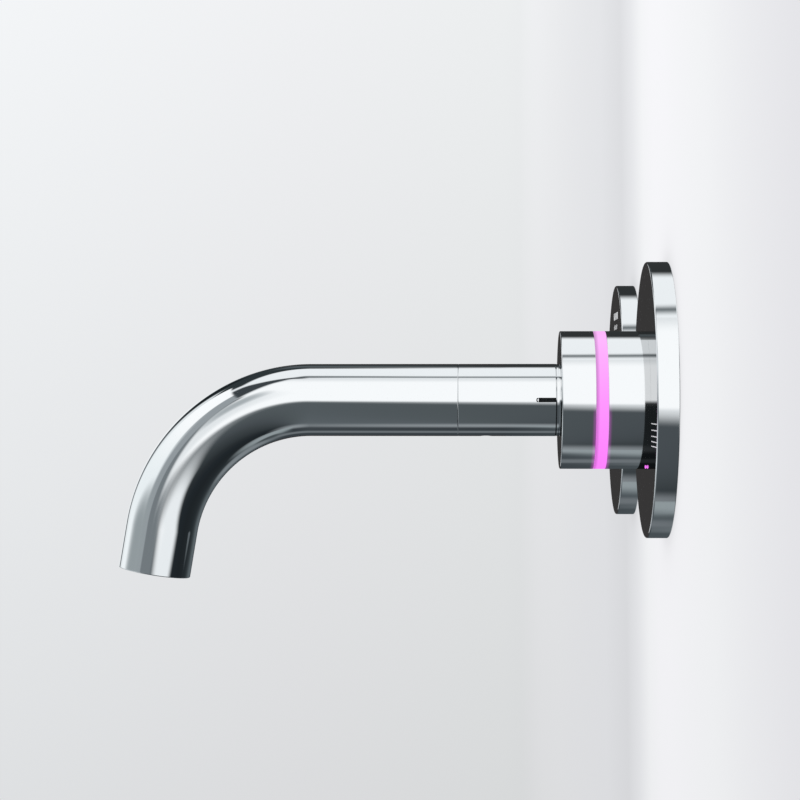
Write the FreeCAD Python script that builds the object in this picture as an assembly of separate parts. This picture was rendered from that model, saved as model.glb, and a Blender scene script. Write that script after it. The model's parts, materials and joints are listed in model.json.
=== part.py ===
# Electronic wall basin tap in two units on one rail: a spout with a turning dial and a light ring, and a
# push and turn control beside it. The mixing valve and its electronics sit behind the wall.
# Millimetres. The origin is on the finished wall at the spout's axis, +Z is up and -Y is out into the room.
# Places along the units' axes are given as "out": the distance from the finished wall into the room.

import math
import os

import FreeCAD
import Part

# Fits
slide_fit = 0.05
bush_seat_fit = 0.03
part_gap = 0.2
overcut = 1.0

# Wall plates
unit_spacing = 125.0
plate_radius = 40.0
plate_depth = 6.2
plate_face_wall = 2.2
plate_rim_wall = 1.8
plate_bevel = 0.45
plate_seal_width = 5.0

# Spout unit's body
body_radius = 20.0
base_seal_thickness = 0.7
base_seal_inset = 0.8
sleeve_length = 11.0
sleeve_wall = 2.5
light_ring_width = 3.3
dial_length = 9.8
dial_face_wall = 2.6
dial_face_width = 9.5
edge_bevel = 0.3
core_wall = 2.5
core_flange_thickness = 2.5
core_tail_radius = 12.0
core_tail_length = 6.4
core_end_gap = 0.4
board_thickness = 1.2
board_ledge = 1.5
led_room = 1.7
led_count = 12
led_size = 2.0
led_height = 1.0
stem_radius = 8.0
stem_bore = 5.5
stem_stop_wall = 2.5

# Bearings of the dial and the knob
turning_gap = 0.15
bush_wall = 1.2
bush_length = 2.9
knob_bush_length = 5.0
snap_wire = 0.4
snap_groove_half = 0.5
magnet_inset = 1.0
magnet_wall = 2.2
magnet_height = 2.0

# Collar and spout
collar_length = 29.4
collar_tail_step = 0.9
collar_tail_length = 8.0
collar_tail_wall = 2.6
collar_socket_wall = 2.0
key_reach = 5.0
key_height = 1.2
key_depth = 1.5
slot_height = 1.3
slot_depth = 2.4
slot_show = 6.7
set_screw_radius = 1.75
set_screw_out = 52.3
set_screw_recess = 0.3
set_screw_socket = 0.9
spigot_length = 20.6
spigot_wall = 2.2
o_ring_squeeze_room = 0.2
collar_ring_section = 0.75
spigot_ring_section = 0.6
o_ring_pitch = 3.4
tube_straight = 42.8
tube_wall = 1.9
bend_radius = 44.5
bend_angle = 80.56
outlet_straight = 13.3
tube_step_wall = 2.0

# Aerator
outlet_rim_wall = 1.4
aerator_wall = 1.7
aerator_seal_height = 1.2
aerator_height = 8.0
aerator_recess = 0.4
aerator_ledge = 0.9
grid_height = 1.4
grid_hole = 0.62
grid_pitch = 1.75
grid_margin = 1.4

# Control unit
base_radius = 14.0
base_flange_thickness = 2.0
base_barrel_length = 8.3
base_bore = 7.5
base_floor = 4.0
base_depth = 24.0
board_radius = 8.9
board_inset = 6.5
knob_length = 15.1
knob_bearing_depth = 7.5
knob_lip_wall = 2.1
knob_recess_depth = 3.4
knob_web = 1.8
knob_skirt_wall = 2.7
knob_skirt_gap = 0.4
knob_mark_width = 0.8
knob_mark_depth = 0.4
cap_gap = 0.3
cap_proud = 2.0
cap_travel = 1.2
cap_plunger_radius = 4.0
cap_plunger_length = 5.4
cap_clip_radius = 5.4
cap_clip_height = 0.7
cap_clip_bite = 0.6
cap_spring_radius = 6.7
cap_spring_wire = 0.3
cap_spring_pocket = 2.6
switch_size = 6.0
switch_height = 2.0

# Rail
rail_front = -14.0
rail_thickness = 2.5
rail_half_height = 20.0
rail_overhang = 55.0
rail_hole_radius = 2.75
rail_hole_inset = 9.0
rail_hole_half_height = 12.0
nut_thickness = 5.0
stem_nut_flats = 24.0
base_nut_flats = 34.0

# Water line in the wall
line_depth = 35.0
elbow_radius = 12.5
elbow_behind_line = 12.0
elbow_stem_reach = 10.0
line_boss_radius = 9.0
pipe_radius = 6.0
pipe_wall = 1.0
pipe_socket = 12.0
elbow_boss_reach = 26.0
pipe_nut_flats = 22.0
pipe_nut_length = 12.0
pipe_nut_overlap = 4.0

# Mixing valve
valve_half_width = 37.5
valve_back = 54.0
valve_top = 20.0
valve_bottom = -26.0
valve_edge = 3.0
valve_boss_length = 8.0
inlet_half_spacing = 25.0
inlet_boss_radius = 13.0
inlet_boss_length = 14.0
inlet_thread_bore = 9.3
inlet_thread_depth = 16.5
check_bore = 8.0
feed_bore = 3.0
feed_height = -9.0
chamber_radius = 11.0
chamber_floor = 28.0
rotor_length = 22.0
rotor_bore = 7.0
rotor_window = 8.0
spindle_radius = 3.0
spindle_length = 10.0
rotor_half_turn_gap = 0.2
gland_thickness = 3.5
motor_flange_radius = 18.0
motor_flange_thickness = 3.0
motor_radius = 14.0
motor_length = 26.0
link_height = 15.0
strainer_radius = 8.8
strainer_thickness = 1.5
strainer_hole = 1.0
strainer_ring_pitch = 3.1

# Check valves
cage_wall = 1.75
cage_seat_height = 1.5
cage_seat_bore = 4.5
cage_length = 12.0
poppet_radius = 5.6
poppet_thickness = 1.5
poppet_stem = 1.2
poppet_travel = 2.0
check_room = 1.0
check_spring_wire = 0.35
check_spring_radius = 2.6

# Solenoid
orifice_radius = 3.2
seat_lip = 1.4
seat_height = 2.0
seat_pocket_depth = 7.0
seat_pocket_radius = 8.0
tube_radius = 5.0
tube_length = 24.0
tube_cap = 2.0
plunger_radius = 4.0
plunger_length = 23.0
plunger_travel = 1.5
coil_radius = 11.0
coil_height = 20.0
coil_standoff = 2.0
solenoid_spring_radius = 2.6
solenoid_spring_wire = 0.35

# Electronics
box_left = 92.0
box_right = 22.0
box_low = 24.0
box_high = 64.0
box_depth = 27.5
box_wall = 2.0
box_post_radius = 3.5
box_post_inset = 5.0
lid_thickness = 2.5
box_screw_radius = 1.4
box_screw_length = 8.0
box_head_radius = 2.8
box_head_height = 1.5
rail_screw_radius = 2.0
rail_screw_length = 10.0
rail_head_radius = 3.6
rail_head_height = 2.5
rail_screw_side = 26.0
rail_screw_height = 13.0
main_board_margin = 4.0
main_board_standoff = 5.9
main_board_thickness = 1.6
cable_radius = 1.2
port_radius = 3.0
port_length = 2.0
gland_bore = 3.5
gland_radius = 6.0
gland_flats = 16.0
gland_nut_height = 6.0
gland_cap_height = 6.0
gland_place = 40.0
gland_setback = 4.0
standoff_radius = 2.0
standoff_half_pitch = 9.0
transformer_size = (14.0, 12.0, 10.0)
chip_size = (9.0, 9.0, 3.0)
relay_size = (16.0, 6.0, 7.0)
plug_size = (6.0, 6.0, 6.0)
capacitor_radius = 3.5
capacitor_height = 12.0
part_spread = 15.0
cable_setback = 7.0
cable_box_height = 38.0
motor_cable_clearance = 21.5
motor_cable_drop = 14.0
motor_cable_inset = 10.0

up = FreeCAD.Vector(0, 0, 1)
roomward = FreeCAD.Vector(0, -1, 0)
wallward = FreeCAD.Vector(0, 1, 0)
rightward = FreeCAD.Vector(1, 0, 0)

# Radii of the spout unit, from its body inwards
sleeve_bore = body_radius - sleeve_wall
skirt_bore = body_radius - base_seal_inset + slide_fit
collar_radius = body_radius - dial_face_width
collar_tail_radius = collar_radius - collar_tail_step
collar_bore = collar_tail_radius - collar_tail_wall
spigot_radius = collar_radius - collar_socket_wall
spigot_bore = spigot_radius - spigot_wall
tube_bore = collar_radius - tube_wall
aerator_radius = collar_radius - outlet_rim_wall
grid_radius = aerator_radius - aerator_wall - slide_fit
grid_rows = 1 + int((grid_radius - grid_margin - grid_hole) / grid_pitch)
barrel_radius = collar_radius + core_wall
shoulder_radius = barrel_radius + board_ledge
cable_height = shoulder_radius + part_gap + cable_radius

# Radii of the control unit, from its knob inwards
knob_recess_radius = body_radius - knob_lip_wall
cap_radius = knob_recess_radius - cap_gap
knob_skirt_radius = body_radius - knob_skirt_wall
base_flange_radius = knob_skirt_radius - knob_skirt_gap
base_barrel_radius = body_radius - knob_bearing_depth

# Places along the spout unit's axis
body_back = plate_depth + base_seal_thickness
light_back = body_back + sleeve_length
light_front = light_back + light_ring_width
dial_back = light_front + turning_gap
body_front = light_front + dial_length
collar_front = body_front + collar_length
core_front = body_front - dial_face_wall - core_end_gap
collar_step = core_front - key_reach
collar_back = collar_step - collar_tail_length
collar_floor = collar_back - part_gap
stem_front = collar_floor - stem_stop_wall
board_back = light_back - led_room - board_thickness
bend_start = collar_front + tube_straight

# Places along the control unit's axis
control_x = -unit_spacing
base_front = plate_depth + base_flange_thickness + base_barrel_length
knob_back = body_back
knob_front = knob_back + knob_length
knob_floor = knob_front - knob_recess_depth
knob_web_back = knob_floor - knob_web
cap_front = knob_front + cap_proud
cap_back = knob_floor + cap_travel + part_gap
control_board_back = base_front - board_inset

# Places in the wall, and the valve's own axis and its two inlets
rail_back = rail_front - rail_thickness
rail_left = control_x - rail_overhang
line_out = -line_depth
inlet_x = {"hot": control_x - inlet_half_spacing, "cold": control_x + inlet_half_spacing}
valve_right = control_x + valve_half_width
thread_top = valve_bottom - inlet_boss_length + inlet_thread_depth
ledge_height = thread_top + strainer_thickness
cage_top = ledge_height + cage_length
seat_top = valve_top - seat_pocket_depth + seat_height
box_back = rail_back - box_depth
post_x = (-box_left + box_post_inset, -box_right - box_post_inset)
post_z = (box_low + box_post_inset, box_high - box_post_inset)


def at(x, out, z=0.0):
    return FreeCAD.Vector(x, -out, z)


def turned(axis_x, outline):
    points = [at(axis_x + radius, out) for radius, out in outline]
    face = Part.Face(Part.makePolygon(points + points[:1]))
    return face.revolve(at(axis_x, 0), wallward, 360)


def ring(axis_x, inner, outer, back, front):
    return turned(axis_x, [(inner, back), (outer, back), (outer, front), (inner, front)])


def rod(start, direction, radius, length):
    return Part.makeCylinder(radius, length, start, direction)


def sleeve(start, direction, inner, outer, length):
    return rod(start, direction, outer, length).cut(rod(start, direction, inner, length))


def block(left, right, back, front, low, high):
    corner = FreeCAD.Vector(left, -front, low)
    return Part.makeBox(right - left, front - back, high - low, corner)


def hexagon(start, direction, flats, length, bore):
    corner = flats / 2 / math.cos(math.radians(30))
    angles = [math.radians(60 * side) for side in range(6)]
    points = [FreeCAD.Vector(corner * math.cos(a), corner * math.sin(a), 0) for a in angles]
    prism = Part.Face(Part.makePolygon(points + points[:1])).extrude(up * length)
    prism.Placement = FreeCAD.Placement(start, FreeCAD.Rotation(up, direction))
    return prism.cut(rod(start, direction, bore, length))


def o_ring(axis_x, mean_radius, section, out):
    return Part.makeTorus(mean_radius, section, at(axis_x, out), wallward)


def arc_round(before, corner, after, reach):
    # an arc tangent to both runs, from reach before the corner to reach after it
    arriving = (corner - before).normalize()
    leaving = (after - corner).normalize()
    half_turn = arriving.getAngle(leaving) / 2
    radius = reach / math.tan(half_turn)
    inward = (leaving - arriving).normalize()
    middle = corner + inward * (radius / math.cos(half_turn) - radius)
    return radius, Part.Arc(corner - arriving * reach, middle, corner + leaving * reach)


def spring(start, direction, mean_radius, wire, length, turns):
    # each quarter turn of the helix is two arcs that meet in line
    rise = (length - 2 * wire) / (4 * turns)
    points = []
    tangents = []
    for number in range(int(4 * turns) + 1):
        turn = math.radians(90 * number)
        points.append(FreeCAD.Vector(mean_radius * math.cos(turn), mean_radius * math.sin(turn),
                                     wire + rise * number))
        along = FreeCAD.Vector(-math.sin(turn), math.cos(turn), rise / (mean_radius * math.pi / 2))
        tangents.append(along.normalize())
    edges = []
    for first, last, leaving, arriving in zip(points, points[1:], tangents, tangents[1:]):
        across = last - first
        both = across.dot(leaving + arriving)
        spread = 2 * (1 - leaving.dot(arriving))
        reach = (math.sqrt(both ** 2 + spread * across.dot(across)) - both) / spread
        corner_a = first + leaving * reach
        corner_b = last - arriving * reach
        edges.append(arc_round(first, corner_a, corner_b, reach)[1].toShape())
        edges.append(arc_round(corner_a, corner_b, last, reach)[1].toShape())
    section = Part.Wire(Part.makeCircle(wire, points[0], tangents[0]))
    coil = Part.Wire(edges).makePipeShell([section], True, False)
    coil.Placement = FreeCAD.Placement(start, FreeCAD.Rotation(up, direction))
    return coil


def cable(name, points):
    # straight runs joined by arcs as large as the two runs allow
    edges = []
    start = points[0]
    for before, corner, after in zip(points, points[1:], points[2:]):
        reach = 0.45 * min(corner.distanceToPoint(before), corner.distanceToPoint(after))
        radius, arc = arc_round(before, corner, after, reach)
        print(name, "bend radius", round(radius, 1))
        edges.append(Part.LineSegment(start, arc.StartPoint).toShape())
        edges.append(arc.toShape())
        start = arc.EndPoint
    edges.append(Part.LineSegment(start, points[-1]).toShape())
    section = Part.Wire(Part.makeCircle(cable_radius, points[0], points[1] - points[0]))
    return Part.Wire(edges).makePipeShell([section], True, False)


def keep(name, *solids):
    shape = solids[0] if len(solids) == 1 else Part.makeCompound(list(solids))
    print(name, len(shape.Solids), "valid" if shape.isValid() else "NOT VALID")
    shape.exportStep("parts/" + name + ".step")


# Wall plates: pressed cups with a seal behind the rim
def wall_plate(axis_x, hole):
    inner = plate_radius - plate_rim_wall
    floor = plate_depth - plate_face_wall
    return turned(axis_x, [
        (hole, plate_depth), (hole, floor), (inner, floor), (inner, 0), (plate_radius, 0),
        (plate_radius, plate_depth - plate_bevel), (plate_radius - plate_bevel, plate_depth)])


def plate_seal(axis_x):
    outer = plate_radius - plate_rim_wall - part_gap
    return ring(axis_x, outer - plate_seal_width, outer, 0, plate_depth - plate_face_wall)


# The bearing that both the dial and the knob turn on: a bush on a barrel, held by a snap ring
def bearing_bush(axis_x, barrel, back, length):
    return ring(axis_x, barrel + bush_seat_fit, barrel + bush_wall, back, back + length)


def snap_ring(axis_x, barrel, out):
    return o_ring(axis_x, barrel + snap_wire / 4, snap_wire, out)


def snap_groove_in_barrel(axis_x, barrel, out):
    half = snap_groove_half
    return ring(axis_x, barrel - snap_wire, barrel + snap_wire, out - half, out + half)


def hub_bore(barrel, back, bush_length_here, snap_out, end):
    # points of the hub's bore from its back edge to its front edge
    wide = barrel + bush_wall + slide_fit
    close = barrel + turning_gap
    deep = barrel + snap_wire + 2 * turning_gap
    bush_end = back + bush_length_here + turning_gap
    low = snap_out - snap_groove_half - turning_gap / 2
    high = snap_out + snap_groove_half + turning_gap / 2
    return [(wide, back), (wide, bush_end), (close, bush_end), (close, low), (deep, low), (deep, high),
            (close, high), (close, end)]


# Spout unit: the core on its stem, the sleeve, the light ring and its board
def body_core():
    socket = collar_radius + slide_fit
    tail_socket = collar_tail_radius + slide_fit
    stem_socket = stem_radius + slide_fit
    tail_back = body_back - core_tail_length
    flange_front = body_back + core_flange_thickness
    core = turned(0, [
        (stem_socket, tail_back), (core_tail_radius, tail_back), (core_tail_radius, body_back),
        (sleeve_bore - slide_fit, body_back), (sleeve_bore - slide_fit, flange_front),
        (shoulder_radius, flange_front), (shoulder_radius, board_back), (barrel_radius, board_back),
        (barrel_radius, core_front), (socket, core_front), (socket, collar_step),
        (tail_socket, collar_step), (tail_socket, collar_floor), (stem_bore, collar_floor),
        (stem_bore, stem_front), (stem_socket, stem_front)])
    notch_half = cable_radius + part_gap
    notch_low = cable_height - notch_half
    notch = block(-notch_half, notch_half, body_back, flange_front, notch_low, body_radius)
    groove = snap_groove_in_barrel(0, barrel_radius, dial_snap_out())
    key_pocket = key_block(slide_fit)
    return core.cut(notch).cut(groove).cut(key_pocket)


def rear_sleeve():
    # its skirt covers the seal, down to the plate
    skirt_back = plate_depth + slide_fit
    return turned(0, [
        (sleeve_bore, body_back), (skirt_bore, body_back), (skirt_bore, skirt_back),
        (body_radius, skirt_back), (body_radius, light_back), (sleeve_bore, light_back)])


def dial_snap_out():
    return core_front - key_reach / 2 + snap_groove_half


def key_block(clearance):
    half = key_height / 2 + clearance
    inner = collar_radius - slot_depth + part_gap
    outer = collar_radius + key_depth + clearance
    back = collar_step + part_gap - clearance
    front = core_front - part_gap + clearance
    return block(inner, outer, back, front, -half, half)


def led_blocks():
    middle = (shoulder_radius + sleeve_bore) / 2 - part_gap
    front = board_back + board_thickness
    half = led_size / 2
    leds = []
    for number in range(led_count):
        led = block(middle - half, middle + half, front, front + led_height, -half, half)
        led.rotate(at(0, 0), wallward, 360 * (number + 0.5) / led_count)
        leds.append(led)
    return leds


def dial_ring():
    bore = hub_bore(barrel_radius, dial_back, bush_length - turning_gap, dial_snap_out(),
                    core_front + core_end_gap)
    face_bore = collar_radius + turning_gap
    dial = turned(0, bore + [
        (face_bore, core_front + core_end_gap), (face_bore, body_front),
        (body_radius - edge_bevel, body_front), (body_radius, body_front - edge_bevel),
        (body_radius, dial_back)])
    pocket = ring(0, *magnet_radii(barrel_radius), dial_back, dial_back + magnet_height + part_gap)
    mark = rod(at(0, body_front - knob_mark_depth, (body_radius + collar_radius) / 2), roomward,
               knob_mark_width, knob_mark_depth)
    return dial.cut(pocket).cut(mark)


def magnet_radii(barrel):
    inner = barrel + bush_wall + magnet_inset
    return inner, inner + magnet_wall


def magnet_ring(axis_x, barrel, back):
    inner, outer = magnet_radii(barrel)
    return ring(axis_x, inner + slide_fit, outer - slide_fit, back + part_gap,
                back + part_gap + magnet_height)


# Collar, spout and aerator
def collar_ring_places():
    middle = (collar_back + collar_step) / 2
    return middle - o_ring_pitch / 2, middle + o_ring_pitch / 2


def spigot_ring_places():
    first = collar_front - spigot_length + o_ring_pitch
    return first, first + o_ring_pitch


def ring_groove(outer, section, out):
    half = section + o_ring_squeeze_room
    return ring(0, outer - 2 * section, outer + overcut, out - half, out + half)


def spout_collar():
    socket = spigot_radius + slide_fit
    socket_floor = collar_front - spigot_length - part_gap
    collar = turned(0, [
        (collar_bore, collar_back), (collar_tail_radius, collar_back), (collar_tail_radius, collar_step),
        (collar_radius, collar_step), (collar_radius, collar_front), (socket, collar_front),
        (socket, socket_floor), (collar_bore, socket_floor)])
    for out in collar_ring_places():
        groove_outer = collar_tail_radius + slide_fit
        collar = collar.cut(ring_groove(groove_outer, collar_ring_section, out))
    floor = collar_radius - slot_depth
    half = slot_height / 2
    slot_end = body_front + slot_show - half
    slot = block(floor, collar_radius + overcut, collar_step, slot_end, -half, half)
    slot = slot.fuse(rod(at(floor, slot_end), rightward, half, slot_depth + overcut))
    screw_hole = rod(at(0, set_screw_out), up * -1, set_screw_radius, collar_radius + overcut)
    return collar.cut(slot).cut(screw_hole)


def collar_set_screw():
    top = spigot_radius
    length = collar_radius - set_screw_recess - top
    screw = rod(at(0, set_screw_out, -top), up * -1, set_screw_radius - slide_fit, length)
    socket = hexagon(at(0, set_screw_out, -top - length / 2), up * -1, 2 * set_screw_socket, length, 0.1)
    core = rod(at(0, set_screw_out, -top - length / 2), up * -1, 0.2, length)
    return screw.cut(socket).cut(core)


def bend_end():
    turn = math.radians(bend_angle)
    flow = FreeCAD.Vector(0, -math.cos(turn), -math.sin(turn))
    end = at(0, bend_start + bend_radius * math.sin(turn), -bend_radius * (1 - math.cos(turn)))
    return end, flow


def along_spout(radius, back):
    end, flow = bend_end()
    straight = rod(at(0, back), roomward, radius, bend_start - back)
    disc = Part.Face(Part.Wire(Part.makeCircle(radius, at(0, bend_start), roomward)))
    bend = disc.revolve(at(0, bend_start, -bend_radius), rightward, bend_angle)
    last = rod(end, flow, radius, outlet_straight)
    return straight.fuse([bend, last]).removeSplitter()


def spout_tube():
    end, flow = bend_end()
    outlet = end + flow * outlet_straight
    spigot_back = collar_front - spigot_length
    spigot = rod(at(0, spigot_back), roomward, spigot_radius, spigot_length)
    tube = along_spout(collar_radius, collar_front).fuse(spigot)
    tube = tube.cut(along_spout(tube_bore, collar_front + tube_step_wall))
    tube = tube.cut(rod(at(0, spigot_back), roomward, spigot_bore, spigot_length + tube_step_wall))
    seat = aerator_radius + slide_fit
    tube = tube.cut(rod(outlet, flow * -1, seat, aerator_stack()))
    for out in spigot_ring_places():
        tube = tube.cut(ring_groove(spigot_radius + slide_fit, spigot_ring_section, out))
    return tube


def aerator_stack():
    return aerator_recess + aerator_height + aerator_seal_height


def aerator():
    end, flow = bend_end()
    outlet = end + flow * outlet_straight
    bore = aerator_radius - aerator_wall
    mouth = outlet - flow * aerator_recess
    inside = mouth - flow * aerator_height
    housing = sleeve(inside, flow, bore, aerator_radius, aerator_height)
    ledge = sleeve(inside, flow, bore - aerator_ledge, bore, aerator_height - grid_height)
    seal_start = inside - flow * aerator_seal_height
    seal = sleeve(seal_start, flow, bore, aerator_radius, aerator_seal_height)
    grid_start = mouth - flow * grid_height
    grid = rod(grid_start, flow, grid_radius, grid_height)
    across = flow.cross(rightward)
    holes = []
    for row in range(1 - grid_rows, grid_rows):
        count = 2 * grid_rows - 1 - abs(row)
        for place in range(count):
            side = (place - (count - 1) / 2) * grid_pitch
            step = row * grid_pitch * math.sin(math.radians(60))
            start = grid_start + rightward * side + across * step
            holes.append(rod(start, flow, grid_hole, grid_height))
    return housing.fuse(ledge).removeSplitter(), seal, grid.cut(holes)


def make_spout_unit():
    keep("spout_plate", wall_plate(0, sleeve_bore))
    keep("base_seal", ring(0, sleeve_bore, body_radius - base_seal_inset, plate_depth, body_back))
    stem_back = -line_depth + elbow_stem_reach
    keep("spout_stem", ring(0, stem_bore, stem_radius, stem_back, stem_front))
    keep("body_core", body_core())
    keep("rear_sleeve", rear_sleeve())
    keep("light_ring", ring(0, barrel_radius + slide_fit, body_radius, light_back, light_front))
    board_edge = sleeve_bore - part_gap
    board_front = board_back + board_thickness
    keep("led_board", ring(0, barrel_radius + slide_fit, board_edge, board_back, board_front))
    keep("leds", *led_blocks())
    keep("dial_ring", dial_ring())
    keep("dial_magnet_ring", magnet_ring(0, barrel_radius, dial_back))
    keep("dial_bush", bearing_bush(0, barrel_radius, light_front, bush_length))
    keep("locating_key", key_block(0))
    keep("spout_collar", spout_collar())
    collar_mean = collar_tail_radius + slide_fit - collar_ring_section
    spigot_mean = spigot_radius + slide_fit - spigot_ring_section
    collar_rings = [o_ring(0, collar_mean, collar_ring_section, out) for out in collar_ring_places()]
    spigot_rings = [o_ring(0, spigot_mean, spigot_ring_section, out) for out in spigot_ring_places()]
    keep("spout_o_rings", *collar_rings, *spigot_rings)
    keep("collar_set_screw", collar_set_screw())
    keep("spout_tube", spout_tube())
    housing, seal, grid = aerator()
    keep("aerator_housing", housing)
    keep("aerator_seal", seal)
    keep("aerator_grid", grid)


# Control unit: the knob turns on the base, and its cap pushes in
def control_snap_out():
    return base_front - base_barrel_length / 5


def control_base():
    flange_front = plate_depth + base_flange_thickness
    base = turned(control_x, [
        (0, -base_depth), (base_radius, -base_depth), (base_radius, plate_depth),
        (base_flange_radius, plate_depth), (base_flange_radius, flange_front),
        (base_barrel_radius, flange_front), (base_barrel_radius, base_front),
        (board_radius + part_gap / 2, base_front), (board_radius + part_gap / 2, control_board_back),
        (base_bore, control_board_back), (base_bore, base_floor - base_depth),
        (0, base_floor - base_depth)])
    half = cable_radius + part_gap
    slot_out = control_cable_drop()
    slot = block(control_x - half, control_x + half, slot_out - half, slot_out + half, 0,
                 base_radius + overcut)
    groove = snap_groove_in_barrel(control_x, base_barrel_radius, control_snap_out())
    return base.cut(slot).cut(groove)


def knob():
    hub_back = plate_depth + base_flange_thickness + turning_gap
    guide = cap_plunger_radius + slide_fit
    bore = hub_bore(base_barrel_radius, hub_back, knob_bush_length, control_snap_out(), knob_web_back)
    shell = turned(control_x, bore + [
        (guide, knob_web_back), (guide, knob_floor), (knob_recess_radius, knob_floor),
        (knob_recess_radius, knob_front), (body_radius - edge_bevel, knob_front),
        (body_radius, knob_front - edge_bevel), (body_radius, knob_back),
        (knob_skirt_radius, knob_back), (knob_skirt_radius, hub_back)])
    pocket = ring(control_x, *magnet_radii(base_barrel_radius), hub_back,
                  hub_back + magnet_height + part_gap)
    half = knob_mark_width / 2
    mark = block(control_x - half, control_x + half, knob_floor, knob_front,
                 body_radius - knob_mark_depth, body_radius + overcut)
    return shell.cut(pocket).cut(mark)


def clip_front():
    return knob_web_back - part_gap


def push_cap():
    plunger_back = cap_back - cap_plunger_length
    waist = cap_plunger_radius - cap_clip_bite
    clip_back = clip_front() - cap_clip_height
    pocket_inner = cap_spring_radius - cap_spring_wire - part_gap
    pocket_outer = cap_spring_radius + cap_spring_wire + part_gap
    pocket_floor = cap_back + cap_spring_pocket
    return turned(control_x, [
        (0, plunger_back), (cap_plunger_radius, plunger_back), (cap_plunger_radius, clip_back - slide_fit),
        (waist, clip_back - slide_fit), (waist, clip_front() + slide_fit),
        (cap_plunger_radius, clip_front() + slide_fit), (cap_plunger_radius, cap_back),
        (pocket_inner, cap_back), (pocket_inner, pocket_floor), (pocket_outer, pocket_floor),
        (pocket_outer, cap_back), (cap_radius, cap_back), (cap_radius, cap_front - edge_bevel),
        (cap_radius - edge_bevel, cap_front), (0, cap_front)])


def cap_clip():
    waist = cap_plunger_radius - cap_clip_bite
    back = clip_front() - cap_clip_height
    clip = ring(control_x, waist + slide_fit, cap_clip_radius, back, clip_front())
    gap = block(control_x - waist / 2, control_x + waist / 2, back, clip_front(), -cap_clip_radius, 0)
    return clip.cut(gap)


def push_switch():
    half = switch_size / 2
    back = control_board_back + board_thickness
    case = block(control_x - half, control_x + half, back, back + switch_height * 0.75, -half, half)
    button = rod(at(control_x, back + switch_height * 0.75), roomward, switch_size / 4, switch_height / 4)
    return case.fuse(button)


def make_control_unit():
    keep("control_plate", wall_plate(control_x, base_radius + part_gap))
    keep("plate_seals", plate_seal(0), plate_seal(control_x))
    keep("control_base", control_base())
    bush_back = plate_depth + base_flange_thickness
    keep("knob_bush", bearing_bush(control_x, base_barrel_radius, bush_back, knob_bush_length))
    keep("snap_rings", snap_ring(0, barrel_radius, dial_snap_out()),
         snap_ring(control_x, base_barrel_radius, control_snap_out()))
    keep("knob", knob())
    keep("knob_magnet_ring", magnet_ring(control_x, base_barrel_radius, bush_back + turning_gap))
    keep("push_cap", push_cap())
    keep("cap_clip", cap_clip())
    spring_length = cap_back + cap_spring_pocket - knob_floor
    keep("push_spring", spring(at(control_x, knob_floor), roomward, cap_spring_radius, cap_spring_wire,
                               spring_length, 2.5))
    keep("control_board", rod(at(control_x, control_board_back), roomward, board_radius, board_thickness))
    keep("push_switch", push_switch())


# Rail in the wall, with what is clamped to it
def mounting_rail():
    rail = block(rail_left, rail_overhang, rail_back, rail_front, -rail_half_height, rail_half_height)
    tab = block(-box_left, -box_right, rail_back, rail_front, 0, box_high)
    rail = rail.fuse(tab).removeSplitter()
    holes = [(0, 0, stem_radius + part_gap), (control_x, 0, base_radius + part_gap),
             (0, cable_height, cable_radius + part_gap)]
    for x in (rail_left + rail_hole_inset, rail_overhang - rail_hole_inset):
        for z in (-rail_hole_half_height, rail_hole_half_height):
            holes.append((x, z, rail_hole_radius))
    for x, z in rail_screw_places():
        holes.append((x, z, rail_screw_radius + part_gap))
    for x in post_x:
        for z in post_z:
            holes.append((x, z, box_screw_radius + part_gap))
    return rail.cut([rod(at(x, rail_back, z), roomward, radius, rail_thickness) for x, z, radius in holes])


def rail_screw_places():
    sides = (control_x - rail_screw_side, control_x + rail_screw_side)
    return [(x, z) for x in sides for z in (-rail_screw_height, rail_screw_height)]


def screw(x, out, z, direction, radius, length, head_radius, head_height):
    shank = rod(at(x, out, z), direction, radius, length)
    head = rod(at(x, out, z), direction * -1, head_radius, head_height)
    recess = rod(at(x, out, z) - direction * head_height, direction, radius * 0.7, head_height / 2)
    return head.fuse(shank).removeSplitter().cut(recess)


def lock_nut(axis_x, flats, bore):
    return hexagon(at(axis_x, rail_front), roomward, flats, nut_thickness, bore + slide_fit)


def spout_elbow():
    back = line_out - elbow_behind_line
    elbow = rod(at(0, rail_back), wallward, elbow_radius, rail_back - back)
    boss = rod(at(0, line_out), rightward * -1, line_boss_radius, elbow_boss_reach)
    elbow = elbow.fuse(boss).removeSplitter()
    stem_end = line_out + elbow_stem_reach
    elbow = elbow.cut(rod(at(0, stem_end), roomward, stem_radius + slide_fit, rail_back - stem_end))
    elbow = elbow.cut(rod(at(0, line_out), roomward, stem_bore, elbow_stem_reach))
    return elbow.cut(line_bore(-elbow_boss_reach, rightward, elbow_boss_reach))


def line_bore(start_x, direction, length):
    # the pipe's socket and the way behind it
    socket = rod(at(start_x, line_out), direction, pipe_radius + slide_fit, pipe_socket)
    way = rod(at(start_x, line_out), direction, pipe_radius - pipe_wall, length)
    return socket.fuse(way)


def pipe_nut(start_x, direction):
    start = at(start_x, line_out) + direction * -pipe_nut_overlap
    nut = hexagon(start, direction, pipe_nut_flats, pipe_nut_length, pipe_radius + part_gap)
    return nut.cut(rod(start, direction, line_boss_radius + slide_fit, pipe_nut_overlap))


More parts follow.
